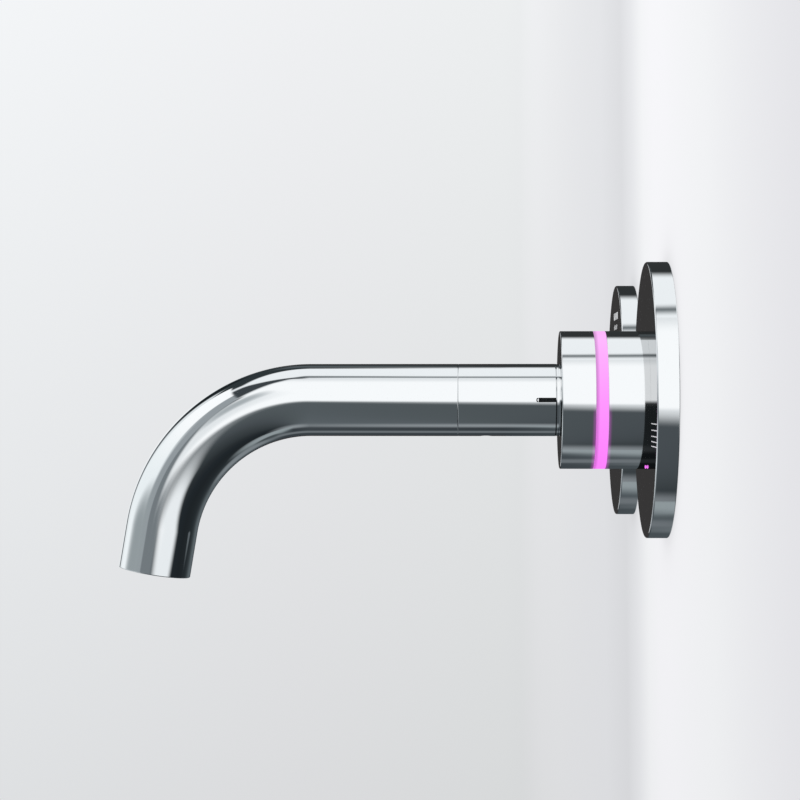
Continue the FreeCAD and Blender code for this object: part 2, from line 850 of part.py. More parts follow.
def make_rail_and_line():
    keep("mounting_rail", mounting_rail())
    keep("rail_screws", *[
        screw(x, rail_front, z, wallward, rail_screw_radius, rail_screw_length, rail_head_radius,
              rail_head_height) for x, z in rail_screw_places()])
    keep("lock_nuts", lock_nut(0, stem_nut_flats, stem_radius),
         lock_nut(control_x, base_nut_flats, base_radius))
    keep("spout_elbow", spout_elbow())
    valve_boss_end = valve_right + valve_boss_length
    pipe_start = valve_boss_end - pipe_socket
    pipe_length = -elbow_boss_reach + pipe_socket - pipe_start
    keep("transfer_pipe", sleeve(at(pipe_start, line_out), rightward, pipe_radius - pipe_wall, pipe_radius,
                                 pipe_length))
    keep("pipe_nuts", pipe_nut(valve_boss_end, rightward), pipe_nut(-elbow_boss_reach, rightward * -1))


# Mixing valve: two inlets with strainers and check valves, a motor-turned rotor and a solenoid
def valve_body():
    left = control_x - valve_half_width
    body = block(left, valve_right, -valve_back, rail_back, valve_bottom, valve_top)
    upright_edges = [edge for edge in body.Edges if edge.tangentAt(0).isParallel(up, 0.01)]
    body = body.makeFillet(valve_edge, upright_edges)
    outlet_boss = rod(at(valve_right, line_out), rightward, line_boss_radius, valve_boss_length)
    body = body.fuse(outlet_boss)
    for x in inlet_x.values():
        body = body.fuse(rod(at(x, line_out, valve_bottom), up * -1, inlet_boss_radius, inlet_boss_length))
    body = body.removeSplitter()
    cuts = [rod(at(control_x, -valve_back), roomward, chamber_radius, valve_back - chamber_floor),
            rod(at(control_x, rail_back), wallward, base_radius + slide_fit, base_depth + rail_back)]
    boss_end = valve_bottom - inlet_boss_length
    for x in inlet_x.values():
        cuts.append(rod(at(x, line_out, boss_end), up, inlet_thread_bore, inlet_thread_depth))
        cuts.append(rod(at(x, line_out, thread_top), up, strainer_radius + slide_fit, strainer_thickness))
        cuts.append(rod(at(x, line_out, ledge_height), up, check_bore,
                        cage_length + poppet_travel + check_room))
        towards = rightward if x < control_x else rightward * -1
        cuts.append(rod(at(x, line_out, feed_height), towards, feed_bore, inlet_half_spacing))
    link_x = valve_right - pipe_socket + valve_boss_length / 2
    cuts.append(line_bore(valve_right + valve_boss_length, rightward * -1, pipe_socket + valve_boss_length))
    cuts.append(rod(at(link_x, line_out), up, feed_bore, link_height + feed_bore))
    across = link_x - control_x - orifice_radius - seat_lip
    link_start = at(control_x + orifice_radius + seat_lip, line_out, link_height)
    cuts.append(rod(link_start, rightward, feed_bore, across))
    pocket_floor = valve_top - seat_pocket_depth
    pocket = rod(at(control_x, line_out, pocket_floor), up, seat_pocket_radius, seat_pocket_depth)
    lip = rod(at(control_x, line_out, pocket_floor), up, orifice_radius + seat_lip, seat_height)
    cuts.append(pocket.cut(lip))
    cuts.append(rod(at(control_x, line_out), up, orifice_radius, seat_top))
    for x, z in rail_screw_places():
        depth = rail_screw_length - rail_thickness + part_gap
        cuts.append(rod(at(x, rail_back, z), wallward, rail_screw_radius + slide_fit, depth))
    return body.cut(cuts)


def inlet_strainer(x):
    start = at(x, line_out, thread_top)
    disc = rod(start, up, strainer_radius, strainer_thickness)
    holes = [rod(start, up, strainer_hole, strainer_thickness)]
    for circle in (1, 2):
        radius = circle * strainer_ring_pitch
        for number in range(6 * circle):
            turn = 2 * math.pi * number / (6 * circle)
            place = start + FreeCAD.Vector(radius * math.cos(turn), radius * math.sin(turn), 0)
            holes.append(rod(place, up, strainer_hole, strainer_thickness))
    return disc.cut(holes)


def check_cage(x):
    outer = check_bore - slide_fit
    inner = outer - cage_wall
    start = at(x, line_out, ledge_height)
    cage = rod(start, up, outer, cage_length)
    room = rod(at(x, line_out, ledge_height + cage_seat_height), up, inner,
               cage_length - 2 * cage_seat_height)
    cuts = [room, rod(start, up, cage_seat_bore, cage_seat_height),
            rod(start, up, poppet_stem + slide_fit, cage_length)]
    for number in range(3):
        turn = 2 * math.pi * number / 3
        middle = (inner + poppet_stem) / 2
        bridge_low = cage_length - cage_seat_height
        place = FreeCAD.Vector(middle * math.cos(turn), middle * math.sin(turn), bridge_low)
        cuts.append(rod(start + place, up, (inner - poppet_stem) / 3, cage_seat_height))
    return cage.cut(cuts)


def poppet_bottom():
    return ledge_height + cage_seat_height + slide_fit


def poppet(x):
    start = at(x, line_out, poppet_bottom())
    disc = rod(start, up, poppet_radius, poppet_thickness)
    stem_length = cage_length - cage_seat_height
    return disc.fuse(rod(start, up, poppet_stem, stem_length)).removeSplitter()


def check_spring(x):
    low = poppet_bottom() + poppet_thickness
    length = cage_top - cage_seat_height - low
    return spring(at(x, line_out, low), up, check_spring_radius, check_spring_wire, length, 4)


def rotor_front():
    return -chamber_floor - rotor_half_turn_gap


def mixing_rotor():
    front = rotor_front()
    back = front - rotor_length
    radius = chamber_radius - slide_fit
    wall = chamber_radius - rotor_bore
    rotor = rod(at(control_x, front), wallward, radius, rotor_length)
    rotor = rotor.cut(rod(at(control_x, front), wallward, rotor_bore, rotor_length - wall))
    half = rotor_window / 2
    window = block(control_x - chamber_radius, control_x + chamber_radius, line_out - half, line_out + half,
                   -overcut, chamber_radius + overcut)
    spindle = rod(at(control_x, back), wallward, spindle_radius, spindle_length)
    return rotor.cut(window).fuse(spindle)


def rotor_gland():
    return ring(control_x, spindle_radius + slide_fit, chamber_radius - slide_fit, -valve_back,
                gland_thickness - valve_back)


def mixing_motor():
    casing_back = -valve_back - motor_length
    motor = turned(control_x, [
        (0, casing_back), (motor_radius - edge_bevel, casing_back), (motor_radius, casing_back + edge_bevel),
        (motor_radius, -valve_back - motor_flange_thickness),
        (motor_flange_radius, -valve_back - motor_flange_thickness), (motor_flange_radius, -valve_back),
        (0, -valve_back)])
    spindle_end = rotor_front() - rotor_length - spindle_length - part_gap
    return motor.cut(rod(at(control_x, -valve_back), wallward, spindle_radius + slide_fit,
                         -valve_back - spindle_end))


def solenoid_tube():
    flange_low = valve_top - seat_pocket_depth + seat_height + plunger_travel + part_gap
    tube_top = valve_top + tube_length
    flange = rod(at(control_x, line_out, flange_low), up, seat_pocket_radius - slide_fit,
                 valve_top - flange_low)
    shaft = rod(at(control_x, line_out, flange_low), up, tube_radius, tube_top - flange_low)
    bore = rod(at(control_x, line_out, flange_low), up, plunger_radius + slide_fit,
               tube_top - tube_cap - flange_low)
    return flange.fuse(shaft).removeSplitter().cut(bore)


def solenoid_coil():
    low = valve_top + coil_standoff
    coil = sleeve(at(control_x, line_out, low), up, tube_radius + slide_fit, coil_radius, coil_height)
    foot = sleeve(at(control_x, line_out, valve_top), up, tube_radius + slide_fit, coil_radius * 0.8,
                  coil_standoff)
    return coil.fuse(foot).removeSplitter()


def solenoid_plunger():
    return rod(at(control_x, line_out, seat_top + slide_fit), up, plunger_radius, plunger_length)


def solenoid_spring():
    low = seat_top + slide_fit + plunger_length
    length = valve_top + tube_length - tube_cap - low
    return spring(at(control_x, line_out, low), up, solenoid_spring_radius, solenoid_spring_wire, length, 4)


def make_valve():
    keep("valve_body", valve_body())
    keep("inlet_strainers", *[inlet_strainer(x) for x in inlet_x.values()])
    keep("check_cages", *[check_cage(x) for x in inlet_x.values()])
    for name, x in inlet_x.items():
        keep(name + "_check_poppet", poppet(x))
        keep(name + "_check_spring", check_spring(x))
    keep("mixing_rotor", mixing_rotor())
    keep("rotor_gland", rotor_gland())
    keep("mixing_motor", mixing_motor())
    keep("solenoid_tube", solenoid_tube())
    keep("solenoid_coil", solenoid_coil())
    keep("solenoid_plunger", solenoid_plunger())
    keep("solenoid_spring", solenoid_spring())


# Electronics box with its board, lid, gland and cables
def control_cable_drop():
    return -nut_thickness


def cable_routes():
    box_line = line_out + cable_setback
    box_edge = box_low + box_wall + port_radius
    left_port = rail_back - box_wall - port_radius
    lid_out = box_back - lid_thickness
    motor_out = lid_out - motor_cable_clearance
    motor_z = box_high - motor_cable_drop
    motor_x = motor_cable_inset - box_left
    drop = control_cable_drop()
    coil_z = valve_top + coil_standoff + coil_height * 0.6
    return {
        "led_cable": [at(-box_right, box_line, cable_box_height), at(0, box_line, cable_box_height),
                      at(0, box_line, cable_height), at(0, board_back, cable_height)],
        "control_cable": [at(control_x, control_board_back), at(control_x, drop),
                          at(control_x, drop, box_edge), at(control_x, left_port, box_edge),
                          at(-box_left, left_port, box_edge)],
        "solenoid_cable": [at(control_x + coil_radius, line_out, coil_z), at(-box_left, line_out, coil_z)],
        "motor_cable": [at(control_x, motor_out, motor_radius), at(control_x, motor_out, motor_z),
                        at(motor_x, motor_out, motor_z), at(motor_x, lid_out, motor_z)]}


def electronics_box():
    shell = block(-box_left, -box_right, box_back, rail_back, box_low, box_high)
    room = block(-box_left + box_wall, -box_right - box_wall, box_back, rail_back - box_wall,
                 box_low + box_wall, box_high - box_wall)
    box = shell.cut(room)
    screw_hole = box_screw_radius + slide_fit
    for x in post_x:
        for z in post_z:
            box = box.fuse(rod(at(x, box_back, z), roomward, box_post_radius, box_depth))
            depth = box_screw_length + part_gap
            box = box.cut(rod(at(x, box_back, z), roomward, screw_hole, depth))
            box = box.cut(rod(at(x, rail_back, z), wallward, screw_hole, depth))
    for x, z in standoff_places():
        floor = rail_back - box_wall
        box = box.fuse(rod(at(x, floor, z), wallward, standoff_radius, main_board_standoff))
    routes = cable_routes()
    ports = [(routes["led_cable"][0], rightward), (routes["control_cable"][-1], rightward * -1),
             (routes["solenoid_cable"][-1], rightward * -1)]
    for start, outward in ports:
        box = box.fuse(sleeve(start, outward, cable_radius + slide_fit, port_radius, port_length))
    gland_hole = rod(at(-gland_place, line_out + gland_setback, box_high - box_wall), up,
                     gland_bore + part_gap, box_wall)
    return box.cut(gland_hole).removeSplitter()


def standoff_places():
    left = -box_left + box_wall + main_board_margin + 2 * box_post_radius
    right = -box_right - box_wall - main_board_margin - 2 * box_post_radius
    middle = (box_low + box_high) / 2
    return [(x, middle + side * standoff_half_pitch) for x in (left, right) for side in (-1, 1)]


def electronics_lid():
    lid = block(-box_left, -box_right, box_back - lid_thickness, box_back, box_low, box_high)
    holes = []
    for x in post_x:
        for z in post_z:
            holes.append(rod(at(x, box_back, z), wallward, box_screw_radius + part_gap, lid_thickness))
    port_place = cable_routes()["motor_cable"][-1]
    port = sleeve(port_place, wallward, cable_radius + slide_fit, port_radius, port_length)
    return lid.cut(holes).fuse(port).removeSplitter()


def on_board(x, z, back, size):
    width, height, depth = size
    return block(x - width / 2, x + width / 2, back - depth, back, z - height / 2, z + height / 2)


def main_board():
    front = rail_back - box_wall - main_board_standoff
    back = front - main_board_thickness
    margin = box_wall + main_board_margin
    low = box_low + margin + box_post_radius
    high = box_high - margin - box_post_radius
    board = block(-box_left + margin, -box_right - margin, back, front, low, high)
    middle = -(box_left + box_right) / 2
    centre = (low + high) / 2
    parts = [on_board(middle - part_spread, centre, back, transformer_size),
             on_board(middle + part_spread, low + chip_size[1] / 2 + 1, back, chip_size),
             on_board(middle, centre, back, plug_size),
             on_board(middle + part_spread, high - relay_size[1] / 2 - 1, back, relay_size)]
    for side in (-1, 1):
        x = middle + side * (capacitor_radius + 1)
        z = high - capacitor_radius - 0.5
        parts.append(rod(at(x, back, z), wallward, capacitor_radius, capacitor_height))
    return board.fuse(parts).removeSplitter()


def cable_gland():
    out = line_out + gland_setback
    nut = hexagon(at(-gland_place, out, box_high), up, gland_flats, gland_nut_height, gland_bore)
    cap_low = box_high + gland_nut_height
    cap = sleeve(at(-gland_place, out, cap_low), up, gland_bore, gland_radius, gland_cap_height)
    return nut.fuse(cap).removeSplitter()


def box_screws():
    screws = []
    for x in post_x:
        for z in post_z:
            size = (box_screw_radius, box_screw_length + lid_thickness, box_head_radius, box_head_height)
            screws.append(screw(x, rail_front, z, wallward, *size))
            screws.append(screw(x, box_back - lid_thickness, z, roomward, *size))
    return screws


def make_electronics():
    keep("electronics_box", electronics_box())
    keep("electronics_lid", electronics_lid())
    keep("box_screws", *box_screws())
    keep("main_board", main_board())
    keep("cable_gland", cable_gland())
    routes = cable_routes()
    keep("led_cable", cable("led_cable", routes["led_cable"]))
    keep("control_cable", cable("control_cable", routes["control_cable"]))
    keep("valve_cables", cable("solenoid_cable", routes["solenoid_cable"]),
         cable("motor_cable", routes["motor_cable"]))


os.makedirs("parts", exist_ok=True)
make_spout_unit()
make_control_unit()
make_rail_and_line()
make_valve()
make_electronics()
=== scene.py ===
import json
import math

import bmesh
import bpy
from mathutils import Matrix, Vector


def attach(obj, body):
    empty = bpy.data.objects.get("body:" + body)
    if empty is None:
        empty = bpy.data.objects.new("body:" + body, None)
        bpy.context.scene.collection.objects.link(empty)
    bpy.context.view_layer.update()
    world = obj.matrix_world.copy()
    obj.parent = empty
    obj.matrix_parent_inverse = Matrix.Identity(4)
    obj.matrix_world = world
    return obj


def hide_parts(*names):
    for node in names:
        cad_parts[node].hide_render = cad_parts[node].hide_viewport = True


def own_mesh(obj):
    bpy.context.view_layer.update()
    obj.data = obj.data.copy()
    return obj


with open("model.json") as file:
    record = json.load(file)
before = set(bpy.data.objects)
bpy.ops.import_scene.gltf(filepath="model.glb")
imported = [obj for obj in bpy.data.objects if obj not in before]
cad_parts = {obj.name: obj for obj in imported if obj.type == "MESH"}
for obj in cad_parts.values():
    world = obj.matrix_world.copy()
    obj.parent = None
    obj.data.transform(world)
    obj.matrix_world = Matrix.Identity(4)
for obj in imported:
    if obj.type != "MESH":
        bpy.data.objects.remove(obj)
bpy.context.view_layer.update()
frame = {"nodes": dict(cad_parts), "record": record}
nodes = frame["nodes"]
mm = 0.001
print("frame loaded,", len(nodes), "nodes")


def toLinear(hexText):
    parts = [int(hexText[place:place + 2], 16) / 255 for place in (1, 3, 5)]
    return [p / 12.92 if p <= 0.04045 else ((p + 0.055) / 1.055) ** 2.4 for p in parts] + [1.0]


def setInputs(node, inputs):
    # another node's output is linked, and a plain value stays on the socket
    for socket, value in inputs.items():
        if isinstance(value, bpy.types.NodeSocket):
            node.id_data.links.new(value, node.inputs[socket])
        else:
            node.inputs[socket].default_value = value


def addNode(tree, kind, inputs=None, **settings):
    node = tree.nodes.new("ShaderNode" + kind)
    for name, value in settings.items():
        setattr(node, name, value)
    setInputs(node, inputs or {})
    return node


def fillRamp(node, stops):
    spots = node.color_ramp.elements
    while len(spots) < len(stops):
        spots.new(1.0)
    for spot, (place, colour) in zip(spots, stops):
        spot.position = place
        spot.color = toLinear(colour) if isinstance(colour, str) else [colour] * 3 + [1.0]
    return node.outputs["Color"]


def tonesOver(tree, value, span, stops):
    # a run of tones or colours, laid from one value to another
    share = addNode(tree, "MapRange", {"Value": value, "From Min": span[0], "From Max": span[1]})
    return fillRamp(addNode(tree, "ValToRGB", {0: share.outputs[0]}), stops)


def putInScene(thing):
    bpy.context.scene.collection.objects.link(thing)


def newFinish(name):
    material = bpy.data.materials.new(name)
    material.use_nodes = True
    tree = material.node_tree
    return material, tree, tree.nodes["Principled BSDF"], addNode(tree, "TexCoord").outputs["Object"]


# camera: the photo's, level, beside the spout and close to the wall
cameraSpec = {"place": (0.5995, -0.05605, 0.0), "towards": (-0.99937, -0.03549, 0.0), "lens": 92.6, "sensor": 36,
              "clipStart": 0.01}


def makeCamera():
    data = bpy.data.cameras.new("camera")
    data.lens = cameraSpec["lens"]
    data.sensor_width = cameraSpec["sensor"]
    data.clip_start = cameraSpec["clipStart"]
    camera = bpy.data.objects.new("camera", data)
    camera.location = cameraSpec["place"]
    camera.rotation_mode = "QUATERNION"
    camera.rotation_quaternion = Vector(cameraSpec["towards"]).to_track_quat("-Z", "Y")
    putInScene(camera)
    bpy.context.scene.camera = camera


makeCamera()
bpy.context.scene.view_settings.view_transform = "Standard"
print("camera made")


# stage: what the camera sees behind the tap is pale, with a painted falloff of light, darker towards the bottom and
# towards the wall's side, and the finished wall is on the right.
# Each span says where a run of tones starts and ends: here in the direction looked in, on the wall in metres
backdropSpec = {
    "across": [(0.0, "#F5F7F9"), (0.41, "#F1F2F4"), (0.69, "#EEF0F1"), (0.83, "#E7E9EB"), (1.0, "#E3E5E7")],
    "acrossSpan": (-0.22, 0.12),
    "upward": [(0.0, 0.80), (0.5, 0.89), (1.0, 0.985)], "upwardSpan": (-0.19, 0.19),
    "light": "#FFFFFF", "lightStrength": 0.8,  # what the matt pieces are lit by
}
wallSpec = {
    "left": -2.0, "right": 1.4, "low": -0.5, "high": 1.3, "out": 0.0001,
    # along: painted light and shade, a pale band of painted light where the units stand with a darker band of painted
    # shade just beside it
    "along": [(0.0, "#EAEBED"), (0.533, "#E7E8EA"), (0.75, "#E3E4E7"), (0.804, "#DDDEE1"), (0.827, "#E7E8EB"),
              (0.847, "#F4F5F7"), (0.864, "#F7F7FA"), (0.88, "#F7F7FA"), (0.928, "#F3F4F6"), (0.992, "#E6E6EA")],
    "alongSpan": (-1.977, 0.273), "farFade": (-2.0, -1.0),
    "lean": 0.155,  # how far the pale band of painted light leans along the wall for each metre of height
    "upward": [(0.0, 0.83), (1.0, 1.11)], "upwardSpan": (-0.5, 0.5),
    "shadow": [(0.0, 0.72), (1.0, 1.0)], "shadowReach": 0.03,  # soft shade where the plates meet the wall
    "matt": "#EDEEF0",
}
floorSpec = {"height": -0.5, "radius": 1.6, "solidTo": 0.9, "sides": 72, "colour": "#E3E5E9", "roughness": 0.8}


def seesBackdrop(tree):
    # 1 for the rays that show the backdrop: the camera's own, and those off metal or through glass
    path = addNode(tree, "LightPath")
    glossy = addNode(tree, "Math", {0: path.outputs["Is Camera Ray"], 1: path.outputs["Is Glossy Ray"]},
                     operation="MAXIMUM")
    return addNode(tree, "Math", {0: glossy.outputs[0], 1: path.outputs["Is Transmission Ray"]},
                   operation="MAXIMUM").outputs[0]


def makeWorld():
    world = bpy.data.worlds.new("studio")
    bpy.context.scene.world = world
    world.use_nodes = True
    tree = world.node_tree
    tree.nodes.clear()
    direction = addNode(tree, "TexCoord").outputs["Generated"]
    parts = addNode(tree, "SeparateXYZ", {0: direction})
    # painted falloff of light on the backdrop: darker towards the wall's side and towards the bottom
    across = tonesOver(tree, parts.outputs["Y"], backdropSpec["acrossSpan"], backdropSpec["across"])
    upward = tonesOver(tree, parts.outputs["Z"], backdropSpec["upwardSpan"], backdropSpec["upward"])
    seen = addNode(tree, "Mix", {"Factor": 1.0, 6: across, 7: upward}, data_type="RGBA",
                   blend_type="MULTIPLY").outputs[2]
    backdrop = addNode(tree, "Background", {"Color": seen, "Strength": 1.0})
    light = addNode(tree, "Background", {"Color": toLinear(backdropSpec["light"]),
                    "Strength": backdropSpec["lightStrength"]})
    mixed = addNode(tree, "MixShader", {0: seesBackdrop(tree), 1: light.outputs[0], 2: backdrop.outputs[0]})
    addNode(tree, "OutputWorld", {0: mixed.outputs[0]})


def stageMesh(name, points, faces, material):
    mesh = bpy.data.meshes.new(name)
    mesh.from_pydata(points, [], faces)
    mesh.materials.append(material)
    thing = bpy.data.objects.new(name, mesh)
    putInScene(thing)
    return thing


def wallPaint():
    # painted light and shade on the wall, as the camera sees it: a soft pale band of painted light where the units
    # stand, a darker painted band of shade beside it, a gentle fall to both sides of it and lighter with height; to
    # other rays it is plain matt emulsion
    material = bpy.data.materials.new("wallPaintedLight")
    material.use_nodes = True
    tree = material.node_tree
    tree.nodes.clear()
    place = addNode(tree, "SeparateXYZ", {0: addNode(tree, "TexCoord").outputs["Object"]})
    leaning = addNode(tree, "Math", {0: place.outputs["Z"], 1: wallSpec["lean"], 2: place.outputs["X"]},
                      operation="MULTIPLY_ADD").outputs[0]
    along = tonesOver(tree, leaning, wallSpec["alongSpan"], wallSpec["along"])
    upward = tonesOver(tree, place.outputs["Z"], wallSpec["upwardSpan"], wallSpec["upward"])
    colour = addNode(tree, "Mix", {"Factor": 1.0, 6: along, 7: upward}, data_type="RGBA",
                     blend_type="MULTIPLY").outputs[2]
    closeness = addNode(tree, "AmbientOcclusion", {"Distance": wallSpec["shadowReach"]}).outputs["AO"]
    shadow = fillRamp(addNode(tree, "ValToRGB", {0: closeness}), wallSpec["shadow"])
    shaded = addNode(tree, "Mix", {"Factor": 1.0, 6: colour, 7: shadow}, data_type="RGBA",
                     blend_type="MULTIPLY").outputs[2]
    seen = addNode(tree, "Emission", {"Color": shaded, "Strength": 1.0})
    matt = addNode(tree, "BsdfDiffuse", {"Color": toLinear(wallSpec["matt"])})
    front = addNode(tree, "MixShader", {0: seesBackdrop(tree), 1: matt.outputs[0], 2: seen.outputs[0]})
    clear = addNode(tree, "BsdfTransparent")
    behind = addNode(tree, "NewGeometry").outputs["Backfacing"]
    farEnd = addNode(tree, "MapRange", {"Value": place.outputs["X"], "From Min": wallSpec["farFade"][1],
                     "From Max": wallSpec["farFade"][0]}, interpolation_type="SMOOTHSTEP").outputs[0]
    unseen = addNode(tree, "Math", {0: behind, 1: farEnd}, operation="MAXIMUM").outputs[0]
    both = addNode(tree, "MixShader", {0: unseen, 1: front.outputs[0], 2: clear.outputs[0]})
    addNode(tree, "OutputMaterial", {0: both.outputs[0]})
    return material


def floorPaint():
    # pale matt floor, far below the tap, fading out before its edge
    material, tree, shader, place = newFinish("floorPaint")
    flat = addNode(tree, "VectorMath", {0: place, 1: (1.0, 1.0, 0.0)}, operation="MULTIPLY").outputs[0]
    reach = addNode(tree, "VectorMath", {0: flat}, operation="LENGTH").outputs["Value"]
    solid = addNode(tree, "MapRange", {"Value": reach, "From Min": floorSpec["radius"],
                    "From Max": floorSpec["solidTo"]}, interpolation_type="SMOOTHSTEP").outputs[0]
    setInputs(shader, {"Base Color": toLinear(floorSpec["colour"]), "Roughness": floorSpec["roughness"],
              "Alpha": solid})
    return material


def makeStage():
    corners = [("left", "low"), ("right", "low"), ("right", "high"), ("left", "high")]
    wall = stageMesh("wall", [(wallSpec[side], wallSpec["out"], wallSpec[end]) for side, end in corners],
                     [(0, 1, 2, 3)], wallPaint())
    turns = [2 * math.pi * n / floorSpec["sides"] for n in range(floorSpec["sides"])]
    rim = [(floorSpec["radius"] * math.cos(turn), floorSpec["radius"] * math.sin(turn), floorSpec["height"])
           for turn in turns]
    floor = stageMesh("floor", rim, [tuple(range(len(rim)))], floorPaint())
    for thing in (wall, floor):
        thing.visible_glossy = False  # the metal is lit by the cards below instead


# studio cards: what polished metal shows. Angles in degrees round the tap: turn is 0 towards the camera's side
# and 90 straight out of the wall, and up is the height above the horizon. Later cards lie over earlier ones.
# A card with a middle is an oval. soft: how far its sides fade, then its low end and its high one, or for an oval
# the share that fades. power: below 2 makes an oval's sides straighter. across: up is measured square to the
# wall. tilt: how much the ends climb for each degree of turn. cuts: slanting edges (tilt, level, fade) that keep
# what is above them, or for a negative fade what is below.
# low: the tones below the horizon, once round from turn -180, and high is the one tone above it. again: the
# strength in a second reflection, whose low part goes towards againLow by againShare, over againFade degrees.
cardSpec = {
    "radius": 3.0, "segments": 48,
    "strength": 1.29, "again": 0.98, "againShare": 0.85, "againLow": "#030404", "againFade": -6.0,
    "low": [(0.0, "#353B3F"), (0.03, "#4E565A"), (0.056, "#5A6266"), (0.081, "#565E62"), (0.106, "#464E51"),
            (0.13, "#33393C"), (0.156, "#282E31"), (0.18, "#23292C"), (0.21, "#212629"), (0.26, "#1E2326"),
            (0.33, "#20262A"), (0.38, "#282D30"), (0.405, "#2F3538"), (0.43, "#353B3E"), (0.456, "#3C4245"),
            (0.48, "#454B4F"), (0.506, "#4E5558"), (0.53, "#545B5F"), (0.6, "#5C6367"), (1.0, "#353B3F")],
    "high": "#E9EDEF", "horizon": (-2.0, 2.0),
    "floor": "#898F93", "floorSpan": (-77.0, -90.0),
    "cards": {
        "floorGlow": {"middle": (-155, -43), "reach": (17, 13), "soft": 0.9, "colour": "#787F83"},
        "floorPatch": {"middle": (-135, -82), "reach": (30, 24), "soft": 0.9, "colour": "#8D9699"},
        "floorShade": {"middle": (-157, -64), "reach": (10, 7), "soft": 0.9, "colour": "#464D50"},
        "floorFar": {"turn": (164, 200), "up": (-63, -50), "soft": (8, 9), "colour": "#696F73"},
        "floorFarWallward": {"turn": (-200, -168), "up": (-63, -50), "soft": (8, 9), "colour": "#696F73"},
        "lowGlint": {"middle": (-110.5, -13), "reach": (7, 3), "soft": 0.4, "colour": "#5C6367"},
        "roomFloor": {"turn": (44, 124), "up": (-48, -8), "soft": (12, 8), "colour": "#C9D0D3"},
        "roomFloorFar": {"turn": (124, 158), "up": (-50, -6), "soft": (14, 10), "colour": "#868D91"},
        "tongue": {"middle": (-30.5, 0), "reach": (34.4, 26.5), "power": 1.5, "soft": 0.38, "colour": "#E6EAEC"},
        "darkFar": {"turn": (106, 173), "up": (-3, 59.8), "soft": (14, 4), "colour": "#2C3336"},
        "darkEnd": {"turn": (168, 190), "up": (-3, 54.5), "soft": (6, 5, 14), "colour": "#2D3031"},
        "darkEndWallward": {"turn": (-190, -150), "up": (-3, 53.5), "soft": (8, 5, 14), "colour": "#2D3031"},
        "darkGap": {"turn": (26, 92), "up": (45, 88.6), "soft": (16, 5), "tilt": -0.295, "colour": "#393F43"},
        "farPale": {"middle": (169, 43), "reach": (9, 7), "soft": 0.9, "colour": "#4F5659"},
        "farBlack": {"middle": (147, 30), "reach": (10, 7), "soft": 0.9, "colour": "#151A1D"},
        "screenShade": {"turn": (9, 46), "up": (-8, 42), "soft": (8, 4), "colour": "#71787C"},
        "greyScreen": {"turn": (41.5, 66), "up": (-4, 56.3), "soft": (4, 1.5), "across": True, "colour": "#91989C"},
        "joint": {"turn": (-75, 50), "up": (74.7, 80.4), "soft": (16, 8, 6.5), "colour": "#5E6568"},
        "nearTop": {"turn": (-70, 40.5), "up": (46, 70), "soft": (12, 3, 3), "colour": "#DADEE0"},
        "nearTopRight": {"turn": (24, 41.5), "up": (45, 63), "soft": (10, 4, 5), "colour": "#F1F4F5"},
        "nearSoftbox": {"turn": (-56, 38), "up": (-7.5, 64), "soft": (7, 4, 18),
                        "cuts": [(2.1, -51.2, 17), (0.42, -6.2, 8)], "colour": "#F6F8F9"},
        "nearShade": {"middle": (27, 20), "reach": (13, 17), "soft": 0.95, "cuts": [(2.1, -51.2, 17)],
                      "colour": "#E0E4E6"},
        "nearPatch": {"middle": (30, 32.5), "reach": (9.5, 10), "power": 1.7, "soft": 0.95, "colour": "#A6ADB0"},
        "roomSoftbox": {"turn": (65, 122.5), "up": (-3, 56.3), "soft": (5, 1.2), "across": True, "colour": "#F8FAFB"},
        "roomScreen": {"turn": (122, 134), "up": (-3, 43.5), "soft": (8, 3), "colour": "#DBE0E2"},
        "roomLow": {"turn": (60, 128), "up": (-3, 30), "soft": (10, 30), "colour": "#E7EDEF"},
        "roomCorner": {"middle": (72, 0), "reach": (25, 13.5), "soft": 0.95, "colour": "#91999C"},
        "farGap": {"middle": (137, 13), "reach": (4.5, 9), "soft": 0.9, "colour": "#6A7175"},
        "farGlow": {"middle": (157, 3), "reach": (14.5, 13.5), "power": 1.7, "soft": 0.6, "colour": "#EEF1F3"},
        "farLow": {"turn": (152, 180), "up": (-20, 4), "soft": (8, 6), "colour": "#D2D6D8"},
        "darkEdge": {"turn": (160, 192), "up": (-25, 40), "soft": (4, 6), "cuts": [(3.3, -558.2, -7)],
                     "colour": "#323131"},
    },
}


def softEdge(tree, value, level, fade):
    # 0 to 1 across the level, over fade degrees, or 1 to 0 for a negative fade
    return addNode(tree, "MapRange", {"Value": value, "From Min": level - fade / 2,
                   "From Max": level + fade / 2}, interpolation_type="SMOOTHSTEP").outputs[0]


def allOf(tree, masks):
    # what is left where several masks overlap
    whole = masks[0]
    for mask in masks[1:]:
        whole = addNode(tree, "Math", {0: whole, 1: mask}, operation="MULTIPLY").outputs[0]
    return whole


def slanted(tree, turn, rise, tilt):
    # the rise, measured from a line that climbs by the tilt
    return addNode(tree, "Math", {0: turn, 1: -tilt, 2: rise}, operation="MULTIPLY_ADD").outputs[0]


def cutEdges(tree, card, turn, rise):
    return [softEdge(tree, slanted(tree, turn, rise, tilt), level, fade)
            for tilt, level, fade in card.get("cuts", ())]


def roundCard(tree, card, turn, rise):
    total = None
    for value, middle, reach in zip((turn, rise), card["middle"], card["reach"]):
        part = addNode(tree, "MapRange", {"Value": value, "From Min": middle, "From Max": middle + reach},
                       clamp=False).outputs[0]
        part = addNode(tree, "Math", {0: part}, operation="ABSOLUTE").outputs[0]
        part = addNode(tree, "Math", {0: part, 1: card.get("power", 2.0)}, operation="POWER").outputs[0]
        total = part if total is None else addNode(tree, "Math", {0: total, 1: part}).outputs[0]
    return allOf(tree, [softEdge(tree, total, 1.0, -2 * card["soft"])] + cutEdges(tree, card, turn, rise))


